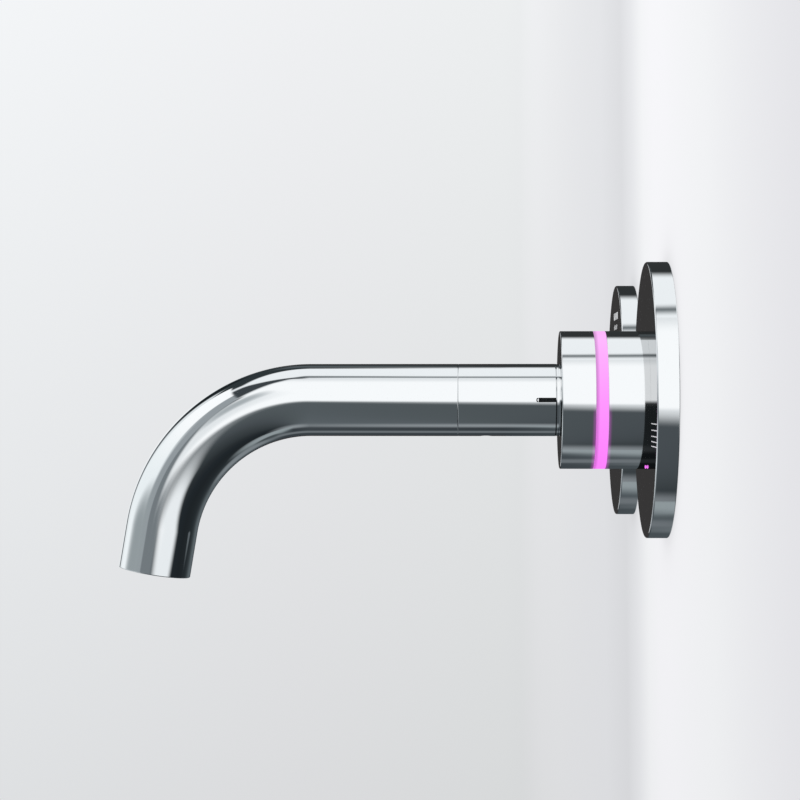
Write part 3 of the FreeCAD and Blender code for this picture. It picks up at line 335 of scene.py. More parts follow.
def straightCard(tree, card, turn, rise):
    sideFade, lowFade, highFade = card["soft"][0], card["soft"][1], card["soft"][-1]
    height = slanted(tree, turn, rise, card.get("tilt", 0.0))
    edges = [softEdge(tree, turn, card["turn"][0], sideFade), softEdge(tree, turn, card["turn"][1], -sideFade),
             softEdge(tree, height, card["up"][0], lowFade), softEdge(tree, height, card["up"][1], -highFade)]
    return allOf(tree, edges + cutEdges(tree, card, turn, rise))


def cardsMaterial():
    material = bpy.data.materials.new("studioCards")
    material.use_nodes = True
    tree = material.node_tree
    tree.nodes.clear()
    place = addNode(tree, "TexCoord").outputs["Object"]
    unit = addNode(tree, "VectorMath", {0: place}, operation="NORMALIZE").outputs[0]
    parts = addNode(tree, "SeparateXYZ", {0: unit})
    outwards = addNode(tree, "Math", {0: parts.outputs["Y"], 1: -1.0}, operation="MULTIPLY").outputs[0]
    angles = [addNode(tree, "Math", {0: outwards, 1: parts.outputs["X"]}, operation="ARCTAN2"),
              addNode(tree, "Math", {0: parts.outputs["Z"]}, operation="ARCSINE"),
              addNode(tree, "Math", {0: parts.outputs["Z"], 1: outwards}, operation="ARCTAN2")]
    turn, rise, riseAcross = [addNode(tree, "Math", {0: angle.outputs[0]}, operation="DEGREES").outputs[0]
                              for angle in angles]
    colour = tonesOver(tree, turn, (-180.0, 180.0), cardSpec["low"])
    layers = []
    for span, paint in ((cardSpec["floorSpan"], cardSpec["floor"]), (cardSpec["horizon"], cardSpec["high"])):
        mask = addNode(tree, "MapRange", {"Value": rise, "From Min": span[0], "From Max": span[1]},
                       interpolation_type="SMOOTHSTEP").outputs[0]
        layers.append((mask, paint))
    for card in cardSpec["cards"].values():
        if "middle" in card:
            mask = roundCard(tree, card, turn, rise)
        else:
            mask = straightCard(tree, card, turn, riseAcross if card.get("across") else rise)
        layers.append((mask, card["colour"]))
    # the low part stays dark where one piece of the tap shows it in another
    depth = addNode(tree, "LightPath").outputs["Ray Depth"]
    again = addNode(tree, "MapRange", {"Value": depth, "From Min": 1.0, "From Max": 2.0,
                    "To Max": cardSpec["againShare"]}).outputs[0]
    below = addNode(tree, "MapRange", {"Value": rise, "From Min": 0.0,
                    "From Max": cardSpec["againFade"]}).outputs[0]
    layers.append((allOf(tree, [again, below]), cardSpec["againLow"]))
    for mask, paint in layers:
        colour = addNode(tree, "Mix", {"Factor": mask, 6: colour, 7: toLinear(paint)},
                         data_type="RGBA").outputs[2]
    power = addNode(tree, "MapRange", {"Value": depth, "From Min": 1.0, "From Max": 2.0,
                    "To Min": cardSpec["strength"], "To Max": cardSpec["again"]}).outputs[0]
    glow = addNode(tree, "Emission", {"Color": colour, "Strength": power})
    addNode(tree, "OutputMaterial", {0: glow.outputs[0]})
    return material


def makeCards():
    mesh = bpy.data.meshes.new("studioCards")
    shell = bmesh.new()
    bmesh.ops.create_uvsphere(shell, u_segments=cardSpec["segments"], v_segments=cardSpec["segments"] // 2,
                              radius=cardSpec["radius"])
    shell.to_mesh(mesh)
    shell.free()
    mesh.materials.append(cardsMaterial())
    cards = bpy.data.objects.new("studioCards", mesh)
    putInScene(cards)
    cards.visible_camera = False
    cards.visible_diffuse = False
    cards.visible_transmission = False
    cards.visible_shadow = False


lampSpec = {"place": (1.2, -1.4, 1.5), "size": 1.4, "energy": 14}


def makeLamp():
    # one large soft lamp, up and to the left of the camera, for the pieces that aren't metal
    data = bpy.data.lights.new("softLamp", "AREA")
    data.shape = "SQUARE"
    data.size = lampSpec["size"]
    data.energy = lampSpec["energy"]
    lamp = bpy.data.objects.new("softLamp", data)
    lamp.location = lampSpec["place"]
    lamp.rotation_mode = "QUATERNION"
    lamp.rotation_quaternion = (-lamp.location).to_track_quat("-Z", "Y")
    lamp.visible_glossy = False
    putInScene(lamp)


makeWorld()
makeStage()
makeCards()
makeLamp()
print("stage made")


# finishes: each is named for the real material and how its surface was made
noiseSpan = {"From Min": 0.3, "From Max": 0.7}  # noise keeps mostly to this part of its range

# glowMm: how far the light ring's painted glow reaches over an edge beside it, and glowFullMm the height below which
# it is
# full. backMm and frontMm: the two edges beside the ring, out from the wall
chromeSpec = {"colour": "#E4E5E6", "roughness": (0.03, 0.05), "smearMm": 18, "smearDetail": 4.0,
              "smearRoughness": 0.6, "glow": "#D038CE", "glowStrength": 0.3, "glowMm": 1.3, "glowFullMm": -5,
              "backMm": 17.9, "frontMm": 21.35}


def polishedChrome(name, litEdgeMm=None, outwards=1):
    # bright nickel and chrome on polished brass: a cool mirror, with wiped smears that only soften it a little.
    # outwards: 1 for metal further out than its lit edge, -1 for metal nearer the wall
    material, tree, shader, place = newFinish(name)
    smear = addNode(tree, "TexNoise", {"Vector": place, "Scale": 1 / (chromeSpec["smearMm"] * mm),
                    "Detail": chromeSpec["smearDetail"], "Roughness": chromeSpec["smearRoughness"]})
    low, high = chromeSpec["roughness"]
    soft = addNode(tree, "MapRange", {"Value": smear.outputs[0], "To Min": low, "To Max": high, **noiseSpan})
    setInputs(shader, {"Base Color": toLinear(chromeSpec["colour"]), "Metallic": 1.0, "Roughness": soft.outputs[0]})
    if litEdgeMm:  # painted glow of the light ring beside it, which only shows in the dark lower half
        parts = addNode(tree, "SeparateXYZ", {0: place})
        end = litEdgeMm + outwards * chromeSpec["glowMm"]
        near = addNode(tree, "MapRange", {"Value": parts.outputs["Y"], "From Min": -litEdgeMm * mm,
                       "From Max": -end * mm, "To Min": chromeSpec["glowStrength"], "To Max": 0.0},
                       interpolation_type="SMOOTHERSTEP").outputs[0]
        dark = addNode(tree, "MapRange", {"Value": parts.outputs["Z"], "From Min": 0.0,
                       "From Max": chromeSpec["glowFullMm"] * mm}).outputs[0]
        setInputs(shader, {"Emission Color": toLinear(chromeSpec["glow"]),
                  "Emission Strength": allOf(tree, [near, dark])})
    return material


ringSpec = {"body": "#2A242A", "roughness": 0.4, "specular": 0.2,
            "lit": [(0.0, "#FF7CFF"), (0.5, "#FD93FC"), (1.0, "#FBB4FA")], "heightMm": (-20, 20),
            "rim": [(0.0, 0.62), (1.0, 1.0)], "rimShadeMm": (-21.2, -20.3)}  # a little darker at its front edge


def litDiffuser():
    # frosted acrylic, lit by the lights behind it: paler towards the top, deeper below, with painted shade at its
    # front edge beside the dial
    material, tree, shader, place = newFinish("litDiffuserAcrylic")
    parts = addNode(tree, "SeparateXYZ", {0: place})
    colour = tonesOver(tree, parts.outputs["Z"], [end * mm for end in ringSpec["heightMm"]], ringSpec["lit"])
    # painted shade: the glow is darker at the ring's front edge, in the gap beside the dial
    rim = tonesOver(tree, parts.outputs["Y"], [end * mm for end in ringSpec["rimShadeMm"]], ringSpec["rim"])
    shaded = addNode(tree, "Mix", {"Factor": 1.0, 6: colour, 7: rim}, data_type="RGBA",
                     blend_type="MULTIPLY").outputs[2]
    setInputs(shader, {"Base Color": toLinear(ringSpec["body"]), "Roughness": ringSpec["roughness"],
              "Specular IOR Level": ringSpec["specular"], "Emission Color": shaded, "Emission Strength": 1.0})
    return material


# colours: the two that the surface drifts between over cloudMm. grainMm and bumpMm: its relief's size and depth.
# bandMm: lines left by the lathe, drawn coarser than the real 0.1 mm so that they show.
finishSpec = {
    "turnedBrass": {"colours": ("#DCB76C", "#D0A95D"), "cloudMm": 14, "metallic": 1.0, "roughness": (0.2, 0.28),
                    "bandMm": 0.5, "bumpMm": 0.012},  # bright golden, with fine rings
    "forgedBrass": {"colours": ("#DAB777", "#CFAA68"), "cloudMm": 16, "metallic": 1.0, "roughness": (0.42, 0.5),
                    "grainMm": 0.6, "bumpMm": 0.05},  # duller, blasted grain
    "drawnCopper": {"colours": ("#CE8663", "#B97053"), "cloudMm": 8, "metallic": 1.0, "roughness": (0.24, 0.34),
                    "grainMm": 1.2, "bumpMm": 0.01},  # warm, with darker handled patches
    "turnedStainless": {"colours": ("#C4C5C6", "#A9AAAC"), "cloudMm": 6, "metallic": 1.0, "roughness": (0.2, 0.3),
                        "bandMm": 0.4, "bumpMm": 0.008},  # neutral grey metal, satin
    "satinMotorCan": {"colours": ("#B2B3B5", "#9C9DA0"), "cloudMm": 10, "metallic": 1.0, "roughness": (0.3, 0.4),
                      "bandMm": 0.6, "bumpMm": 0.01},  # nickel-plated deep-drawn can
    "sinteredFerrite": {"colours": ("#343335", "#242325"), "cloudMm": 2, "roughness": (0.5, 0.7),
                        "grainMm": 0.3, "bumpMm": 0.03},  # dark ceramic magnet, faintly sandy
    "mouldedAcetal": {"colours": ("#EAE9E3", "#E0DFD8"), "cloudMm": 12, "roughness": (0.3, 0.38),
                      "grainMm": 0.5, "bumpMm": 0.006},  # milky, waxy plastic
    "mouldedPolypropylene": {"colours": ("#CDD1D3", "#BFC4C7"), "cloudMm": 6,
                             "roughness": (0.34, 0.44), "grainMm": 0.4, "bumpMm": 0.006},  # pale grey, a little waxy
    "mouldedRubber": {"colours": ("#202021", "#171718"), "cloudMm": 5, "roughness": (0.55, 0.72),
                      "grainMm": 0.35, "bumpMm": 0.012},  # soft black with a dusty sheen
    "mouldedBlackNylon": {"colours": ("#1E1F21", "#151618"), "cloudMm": 8,
                          "roughness": (0.38, 0.5), "grainMm": 0.35, "bumpMm": 0.015},  # black, fine spark texture
    "mouldedCase": {"colours": ("#D8DADB", "#CBCDCF"), "cloudMm": 25, "roughness": (0.42, 0.52),
                    "grainMm": 0.6, "bumpMm": 0.02},  # light grey polycarbonate, fine leather-like texture
    "extrudedSheath": {"colours": ("#303134", "#242528"), "cloudMm": 9, "roughness": (0.4, 0.52),
                       "grainMm": 0.8, "bumpMm": 0.01},  # matt black PVC
    "printedInkAndPaintedHighlight": {"colours": ("#F3F4F4", "#E9EAEB"), "cloudMm": 4, "roughness": (0.4, 0.5),
                   "grainMm": 0.3, "bumpMm": 0.003},  # white pad print, matt on the mirror, also the white of the painted highlight lines
    "recessPaintedShade": {"colours": ("#43494C", "#383D40"), "cloudMm": 2, "roughness": (0.6, 0.8),
                        "grainMm": 0.2, "bumpMm": 0.01},  # painted shade: dark grey in the milled slot, the screw hole, the dimple and the mark, where shade falls in them
}
patternSpec = {"cloudDetail": 5.0, "cloudRoughness": 0.55, "cloudStops": (0.35, 0.65), "reliefDetail": 2.0,
               "bandWobble": 0.6, "bandPeriod": 0.314}  # a wave's period is 0.314 of its unit


def makeFinish(name):
    spec = finishSpec[name]
    material, tree, shader, place = newFinish(name)
    cloud = addNode(tree, "TexNoise", {"Vector": place, "Scale": 1 / (spec["cloudMm"] * mm),
                    "Detail": patternSpec["cloudDetail"], "Roughness": patternSpec["cloudRoughness"]}).outputs[0]
    colour = fillRamp(addNode(tree, "ValToRGB", {0: cloud}), list(zip(patternSpec["cloudStops"], spec["colours"])))
    low, high = spec["roughness"]
    rough = addNode(tree, "MapRange", {"Value": cloud, "To Min": low, "To Max": high, **noiseSpan})
    if "bandMm" in spec:
        relief = addNode(tree, "TexWave", {"Vector": place, "Distortion": patternSpec["bandWobble"],
                         "Scale": patternSpec["bandPeriod"] / (spec["bandMm"] * mm),
                         "Detail": patternSpec["reliefDetail"]}, bands_direction="Y").outputs[1]
    else:
        relief = addNode(tree, "TexNoise", {"Vector": place, "Scale": 1 / (spec["grainMm"] * mm),
                         "Detail": patternSpec["reliefDetail"]}).outputs[0]
    bump = addNode(tree, "Bump", {"Height": relief, "Strength": 1.0, "Distance": spec["bumpMm"] * mm})
    setInputs(shader, {"Base Color": colour, "Metallic": spec.get("metallic", 0.0), "Roughness": rough.outputs[0],
              "Normal": bump.outputs[0]})
    return material


boardSpec = {"solderMask": "#1C5432", "overTrack": "#2C6E45", "pad": "#C9B98A", "roughness": 0.32, "pitchMm": 2.6,
             "trackMm": 0.25, "trackLong": 3, "padEdge": (0.16, 0.12), "padScatter": 0.35, "copperMm": 0.03}


def circuitBoard():
    # glass-epoxy board: green solder mask, a lighter green where copper tracks lie under it, tinned pads
    material, tree, shader, place = newFinish("greenCircuitBoard")
    flat = addNode(tree, "VectorRotate", {"Vector": place, "Angle": math.pi / 2}, rotation_type="X_AXIS").outputs[0]
    pitch = boardSpec["pitchMm"] * mm
    mask = toLinear(boardSpec["solderMask"])
    tracks = addNode(tree, "TexBrick", {"Vector": flat, "Scale": 1.0, "Color1": mask, "Color2": mask,
                     "Mortar": toLinear(boardSpec["overTrack"]), "Mortar Size": boardSpec["trackMm"] * mm,
                     "Brick Width": boardSpec["trackLong"] * pitch, "Row Height": pitch})
    pads = addNode(tree, "TexVoronoi", {"Vector": flat, "Scale": 1 / pitch,
                   "Randomness": boardSpec["padScatter"]}).outputs["Distance"]
    isPad = addNode(tree, "MapRange", {"Value": pads, "From Min": boardSpec["padEdge"][0],
                    "From Max": boardSpec["padEdge"][1]}).outputs[0]
    colour = addNode(tree, "Mix", {"Factor": isPad, 6: tracks.outputs["Color"],
                     7: toLinear(boardSpec["pad"])}, data_type="RGBA").outputs[2]
    bump = addNode(tree, "Bump", {"Height": tracks.outputs["Fac"], "Distance": boardSpec["copperMm"] * mm})
    setInputs(shader, {"Base Color": colour, "Roughness": boardSpec["roughness"], "Normal": bump.outputs[0]})
    return material


zincSpec = {"patchMm": 6, "tones": [(0.0, "#A9B0B8"), (0.5, "#B7BEC5"), (1.0, "#C4CAD0")], "roughness": (0.28, 0.42)}


def zincPlate():
    # zinc-plated sheet: cool grey, with crystal patches that turn lighter and darker
    material, tree, shader, place = newFinish("zincPlatedSteel")
    spangle = addNode(tree, "TexVoronoi", {"Vector": place, "Scale": 1 / (zincSpec["patchMm"] * mm)})
    shade = addNode(tree, "SeparateXYZ", {0: spangle.outputs["Color"]}).outputs[0]
    colour = fillRamp(addNode(tree, "ValToRGB", {0: shade}), zincSpec["tones"])
    low, high = zincSpec["roughness"]
    rough = addNode(tree, "MapRange", {"Value": shade, "To Min": low, "To Max": high})
    setInputs(shader, {"Base Color": colour, "Metallic": 1.0, "Roughness": rough.outputs[0]})
    return material


ledSpec = {"body": "#F2F0EA", "grainMm": 0.8, "lit": [(0.3, "#FFB6F5"), (0.7, "#FFA2F2")]}


def litLed():
    # white encapsulated LED chips, lit pink
    material, tree, shader, place = newFinish("litLedChip")
    grain = addNode(tree, "TexNoise", {"Vector": place, "Scale": 1 / (ledSpec["grainMm"] * mm)}).outputs[0]
    colour = fillRamp(addNode(tree, "ValToRGB", {0: grain}), ledSpec["lit"])
    setInputs(shader, {"Base Color": toLinear(ledSpec["body"]), "Emission Color": colour, "Emission Strength": 1.0})
    return material


chrome = polishedChrome("polishedChrome")
chromeGlowPaintedBehindLight = polishedChrome("polishedChromePaintedGlowBehindTheLight", chromeSpec["backMm"], -1)
chromeGlowPaintedBeforeLight = polishedChrome("polishedChromePaintedGlowBeforeTheLight", chromeSpec["frontMm"])
diffuser = litDiffuser()
finishes = {name: makeFinish(name) for name in finishSpec}
slotFinishes = {
    "polished_chrome": chrome, "brass": finishes["turnedBrass"], "copper": finishes["drawnCopper"],
    "light_diffuser": diffuser, "stainless_steel": finishes["turnedStainless"], "zinc_steel": zincPlate(),
    "motor_can": finishes["satinMotorCan"], "magnet": finishes["sinteredFerrite"],
    "bearing_plastic": finishes["mouldedAcetal"], "aerator_plastic": finishes["mouldedPolypropylene"],
    "seal_rubber": finishes["mouldedRubber"], "circuit_board": circuitBoard(), "led_white": litLed(),
    "black_plastic": finishes["mouldedBlackNylon"], "case_plastic": finishes["mouldedCase"],
    "cable_sheath": finishes["extrudedSheath"],
}
forgedNodes = ("spout_elbow", "valve_body")


def dressNodes():
    for row in frame["record"]["subparts"]:
        finish = slotFinishes[row["material_slot"]]
        if row["node"] in forgedNodes:
            finish = finishes["forgedBrass"]
        node = nodes[row["node"]]
        for place in node.material_slots:
            place.material = finish


dressNodes()
print("finishes made")


# turned pieces: a section, in mm out from the wall and mm from the axis, swept round that axis. A third number is
# a corner's rounding. A corner that turns by less than straight, in radians, is none, and a face counts as turned
# where trueFrom of its normal has no part along the turn
turnedSpec = {"segments": 192, "cornerSteps": 5, "hiddenRound": 0.08, "straight": 0.001, "trueFrom": 0.99}
bendSpec = {"start": 103.2, "radius": 44.5, "degrees": 80.56}
controlX = -125.0


def rounded(corners):
    # corners are (out, radius) or (out, radius, rounding), in order round the section. Each comes back as an
    # arc of points (out, radius, facing), and a corner on the axis stays a point
    spots = [Vector(c[:2]) for c in corners]
    rounds = [c[2] if len(c) > 2 else turnedSpec["hiddenRound"] for c in corners]
    area = sum(a.x * b.y - b.x * a.y for a, b in zip(spots, spots[1:] + spots[:1]))
    if area > 0:
        spots.reverse()
        rounds.reverse()
    outline = []
    for number, spot in enumerate(spots):
        arriving = (spot - spots[number - 1]).normalized()
        leaving = (spots[(number + 1) % len(spots)] - spot).normalized()
        first = math.atan2(arriving.x, -arriving.y)
        turn = (math.atan2(leaving.x, -leaving.y) - first + math.pi) % (2 * math.pi) - math.pi
        if spot.y == 0 or abs(turn) < turnedSpec["straight"]:
            outline.append((spot.x, spot.y, (math.cos(first), math.sin(first))))
            continue
        reach = rounds[number] * math.tan(abs(turn) / 2)
        side = 1 if turn < 0 else -1  # outer corner or inner corner
        begin = spot - arriving * reach
        centre = begin - Vector((math.cos(first), math.sin(first))) * rounds[number] * side
        for step in range(turnedSpec["cornerSteps"] + 1):
            angle = first + turn * step / turnedSpec["cornerSteps"]
            facing = Vector((math.cos(angle), math.sin(angle)))
            place = centre + facing * rounds[number] * side
            outline.append((place.x, place.y, tuple(facing)))
    return outline


def straightAxis(axisX):
    def frameAt(out):
        return Vector((axisX, -out, 0)), Vector((0, -1, 0)), Vector((0, 0, 1))
    return frameAt


def spoutAxis(out):
    # the spout's middle line: straight, then a bend downwards, then straight
    start, radius = bendSpec["start"], bendSpec["radius"]
    turn = min(max((out - start) / radius, 0), math.radians(bendSpec["degrees"]))
    along = Vector((0, -math.cos(turn), -math.sin(turn)))
    middle = Vector((0, -min(out, start) - radius * math.sin(turn), -radius * (1 - math.cos(turn))))
    rest = max(out - start - radius * turn, 0)
    return middle + along * rest, along, Vector((0, -math.sin(turn), math.cos(turn)))


def sweptMesh(name, outline, frameAt):
    count = turnedSpec["segments"]
    points, facings, faces = [], [], []
    for out, radius, facing in outline:
        middle, along, up = frameAt(out)
        for number in range(count):
            turn = 2 * math.pi * number / count
            radial = Vector((math.cos(turn), 0, 0)) + up * math.sin(turn)
            points.append((middle + radial * radius) * mm)
            facings.append(along * facing[0] + radial * facing[1])
    for ring, spot in enumerate(outline):
        following = (ring + 1) % len(outline)
        if spot[1] == 0 and outline[following][1] == 0:
            continue
        for number in range(count):
            beside = (number + 1) % count
            faces.append((ring * count + number, ring * count + beside,
                          following * count + beside, following * count + number))
    mesh = bpy.data.meshes.new(name)
    mesh.from_pydata(points, [], faces)
    mesh.polygons.foreach_set("use_smooth", [True] * len(faces))
    mesh.normals_split_custom_set_from_vertices(facings)
    return mesh


def newPiece(name, mesh, materials, body, *replaced):
    for material in materials:
        mesh.materials.append(material)
    piece = bpy.data.objects.new(name, mesh)
    putInScene(piece)
    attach(piece, body)
    if replaced:
        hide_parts(*replaced)
    return piece


def lofted(name, loops, slot=0):
    # a closed skin over loops of points in mm. slot is the material slot of its faces
    count = len(loops[0])
    faces = [(ring * count + n, ring * count + (n + 1) % count, (ring + 1) * count + (n + 1) % count,
              (ring + 1) * count + n) for ring in range(len(loops) - 1) for n in range(count)]
    faces += [tuple(range(count)), tuple(range(len(loops) * count - count, len(loops) * count))]
    mesh = bpy.data.meshes.new(name)
    mesh.from_pydata([spot * mm for loop in loops for spot in loop], [], faces)
    shape = bmesh.new()
    shape.from_mesh(mesh)
    bmesh.ops.recalc_face_normals(shape, faces=shape.faces)
    shape.to_mesh(mesh)
    shape.free()
    mesh.polygons.foreach_set("material_index", [slot] * len(faces))
    return mesh


def circle(middle, axis, radius, count=48):
    across = Vector(axis).orthogonal().normalized()
    up = Vector(axis).normalized().cross(across)
    return [Vector(middle) + (across * math.cos(2 * math.pi * n / count) + up * math.sin(2 * math.pi * n / count))
            * radius for n in range(count)]


def rectangle(x, out, low, high):
    # at one X, from out[0] to out[1] and from low to high
    return [Vector((x, -out[0], low)), Vector((x, -out[1], low)), Vector((x, -out[1], high)),
            Vector((x, -out[0], high))]


def cutAndPolish(piece, cutters, axisX):
    for number, mesh in enumerate(cutters):
        for place in piece.material_slots:
            mesh.materials.append(place.material)
        cutter = bpy.data.objects.new("cutter" + str(number), mesh)
        putInScene(cutter)
        change = piece.modifiers.new("cut", "BOOLEAN")
        change.object = cutter
        change.operation = "DIFFERENCE"
        change.solver = "EXACT"
    bpy.context.view_layer.update()
    done = bpy.data.meshes.new_from_object(piece.evaluated_get(bpy.context.evaluated_depsgraph_get()))
    cutterObjects = [change.object for change in piece.modifiers]
    piece.modifiers.clear()
    piece.data = done
    for cutter in cutterObjects:
        bpy.data.objects.remove(cutter)
    polish(done, axisX)


def polish(mesh, axisX):
    # a turned face's normal has no part along the turn, so each point takes the mean radial and outward parts
    # of the turned faces round it, and reflections run true. Cut faces stay flat
    parts = [[0.0, 0.0] for _ in mesh.vertices]
    turned = []
    for face in mesh.polygons:
        radial = Vector((face.center.x - axisX * mm, 0, face.center.z)).normalized()
        outward, sideways = -face.normal.y, face.normal.dot(radial)
        turned.append(face.material_index == 0 and outward ** 2 + sideways ** 2 > turnedSpec["trueFrom"])
        if turned[-1]:
            for number in face.vertices:
                parts[number][0] += outward * face.area
                parts[number][1] += sideways * face.area
    corners = []
    for face, isTurned in zip(mesh.polygons, turned):
        for number in face.vertices:
            if isTurned:
                place = mesh.vertices[number].co
                radial = Vector((place.x - axisX * mm, 0, place.z)).normalized()
                outward, sideways = parts[number]
                corners.append((radial * sideways + Vector((0, -outward, 0))).normalized())
            else:
                corners.append(face.normal.copy())
    mesh.polygons.foreach_set("use_smooth", [True] * len(mesh.polygons))
    mesh.normals_split_custom_set(corners)


# plates: (name, node, radius of its hole, X of its axis)
plateSpec = {"front": 6.2, "back": 4.0, "inside": 38.2, "radius": 40, "frontEdge": 0.45,
             "plates": [("spoutPlate", "spout_plate", 17.5, 0), ("controlPlate", "control_plate", 14.2, controlX)]}


def makePlates():
    # pressed cups with a polished, softly broken front edge
    front, back, inside, radius = [plateSpec[key] for key in ("front", "back", "inside", "radius")]
    for name, node, hole, axisX in plateSpec["plates"]:
        section = [(front, hole, 0.2), (back, hole), (back, inside, 0.5), (0, inside, 0.2), (0, radius, 0.2),
                   (front, radius, plateSpec["frontEdge"])]
        newPiece(name, sweptMesh(name, rounded(section), straightAxis(axisX)), [chrome], "root", node)


# rows: bars in a line, middled on x, as many as go into across. side: the thin lines of painted highlight, at their
# heights
tickSpec = {
    "thick": 0.03,
    "rows": [{"x": -121.5, "middle": 29.2, "tall": 2.4, "across": 19.0, "bar": 2.6, "gap": 1.5},
             {"x": -122.5, "middle": 25.4, "tall": 1.6, "across": 14.0, "bar": 1.2, "gap": 2.0}],
    "side": {"middle": 30.3, "long": 17.4, "tall": 0.3, "heights": (-6.6, -8.4, -10.1, -11.6, -12.9)},
}


def addTick(shape, x, z, wide, tall):
    bar = bmesh.ops.create_cube(shape, size=1.0)["verts"]
    bmesh.ops.scale(shape, vec=Vector((wide, tickSpec["thick"], tall)) * mm, verts=bar)
    bmesh.ops.translate(shape, vec=Vector((x, -plateSpec["front"] - tickSpec["thick"] / 2, z)) * mm, verts=bar)


def makePlateTicks():
    # printed ticks: two plain rows of five bars above the knob; and painted highlights: a ladder of five thin white
    # lines beside the spout's body
    shape = bmesh.new()
    for row in tickSpec["rows"]:
        pitch = row["bar"] + row["gap"]
        count = int((row["across"] + row["gap"]) / pitch)
        for number in range(count):
            addTick(shape, row["x"] + (number - (count - 1) / 2) * pitch, row["middle"], row["bar"], row["tall"])
    side = tickSpec["side"]
    for height in side["heights"]:
        addTick(shape, side["middle"], height, side["long"], side["tall"])
    mesh = bpy.data.meshes.new("plateTicksAndPaintedHighlights")
    shape.to_mesh(mesh)
    shape.free()
    ticks = newPiece("plateTicksAndPaintedHighlights", mesh, [finishes["printedInkAndPaintedHighlight"]], "root")
    ticks.visible_glossy = False  # mirrored in the round body they would look like dirt on it


bodySpec = [
    {"name": "baseSeal", "node": "base_seal", "finish": finishes["mouldedRubber"],
     "section": [(6.2, 17.5), (6.9, 17.5), (6.9, 19.2), (6.2, 19.2)]},
    {"name": "rearSleeve", "node": "rear_sleeve", "finish": chromeGlowPaintedBehindLight,
     "section": [(6.9, 17.5), (17.9, 17.5), (17.9, 20, 0.12), (6.205, 20, 0.005), (6.205, 19.25), (6.9, 19.25)]},
    {"name": "lightRing", "node": "light_ring", "finish": diffuser,
     "section": [(17.9, 13.05), (21.2, 13.05), (21.2, 20, 0.1), (17.9, 20, 0.1)]},
]


def makeBody():
    for spec in bodySpec:
        mesh = sweptMesh(spec["name"], rounded(spec["section"]), straightAxis(0))
        newPiece(spec["name"], mesh, [spec["finish"]], "root", spec["node"])


# foot: just inside the sleeve, in mm. lens: rings of (height, radius) from there, straight out of the sleeve
paintedGlintSpec = {"foot": (5.7, -6.48, -19.17), "sides": 32,
              "lens": [(-0.2, 0.27), (0.1, 0.27), (0.3, 0.25), (0.45, 0.2), (0.55, 0.12), (0.58, 0.03)]}


def makePaintedGlint():
    # a painted glint of the light ring's pink light: a tiny glowing dome in the corner under the sleeve, beside the
    # plate
    foot = Vector(paintedGlintSpec["foot"])
    away = Vector((foot.x, 0, foot.z)).normalized()
    loops = [circle(foot + away * height, away, radius, paintedGlintSpec["sides"])
             for height, radius in paintedGlintSpec["lens"]]
    newPiece("paintedGlintDome", lofted("paintedGlintDome", loops), [diffuser], "root")


dialSpec = {
    "section": [(21.35, 14.25), (24.25, 14.25), (24.25, 13.15), (25.425, 13.15), (25.425, 13.7), (26.575, 13.7),
                (26.575, 13.15), (28.4, 13.15), (28.4, 10.65), (31, 10.65, 0.15), (31, 20, 0.3), (21.35, 20, 0.12),
                (21.35, 17.4), (23.55, 17.4), (23.55, 15.2), (21.35, 15.2)],
    "dimpleUp": 15.25, "dimple": [(30.6, 0.5), (31.5, 1.25)],  # (out, radius)
}


def makeDial():
    dial = newPiece("dialRing", sweptMesh("dialRing", rounded(dialSpec["section"]), straightAxis(0)),
                    [chromeGlowPaintedBeforeLight, finishes["recessPaintedShade"]], "dial", "dial_ring")
    # the dimple's cut faces take the recess's painted shade
    dimple = [circle((0, -out, dialSpec["dimpleUp"]), (0, 1, 0), radius) for out, radius in dialSpec["dimple"]]
    cutAndPolish(dial, [lofted("dimple", dimple, 1)], 0)


# slotRuns: the part of the slot under the dial and the part in sight, from out to out. slotEnd: (x, radius)
collarSpec = {
    "section": [(15, 7.0), (15, 9.6), (16.35, 9.6), (16.35, 8.15), (18.25, 8.15), (18.25, 9.6), (19.75, 9.6),
                (19.75, 8.15), (21.65, 8.15), (21.65, 9.6), (23, 9.6), (23, 10.5, 0.1), (31.0, 10.5, 0.05),
                (31.35, 10.45, 0.5), (32.0, 10.45, 0.5), (32.35, 10.5, 0.05), (60.4, 10.5, 0.15), (60.4, 8.55),
                (39.6, 8.55), (39.6, 7.0)],
    "slotRuns": [(22, 30.9), (32.3, 37.3)], "slotX": (8.1, 11.5), "slotHalf": 0.65,
    "slotEndOut": 37.4, "slotEnd": [(10.1, 0.25), (10.8, 0.95)],
    "screwOut": 52.3, "screwRadius": 1.75, "screwUp": (-6, -11.5),
}


def makeCollar():
    spec = collarSpec
    collar = newPiece("spoutCollar", sweptMesh("spoutCollar", rounded(spec["section"]), straightAxis(0)),
                      [chrome, finishes["recessPaintedShade"]], "root", "spout_collar")
    # the slot's floor and walls and the screw hole take the recess's painted shade; the slot's round end stays chrome
    cutters = [lofted("slot", [rectangle(x, run, -spec["slotHalf"], spec["slotHalf"]) for x in spec["slotX"]], 1)
               for run in spec["slotRuns"]]
    slotEnd = [circle((x, -spec["slotEndOut"], 0), (1, 0, 0), radius) for x, radius in spec["slotEnd"]]
    screwHole = [circle((0, -spec["screwOut"], up), (0, 0, 1), spec["screwRadius"]) for up in spec["screwUp"]]
    cutAndPolish(collar, cutters + [lofted("slotEnd", slotEnd), lofted("screwHole", screwHole, 1)], 0)


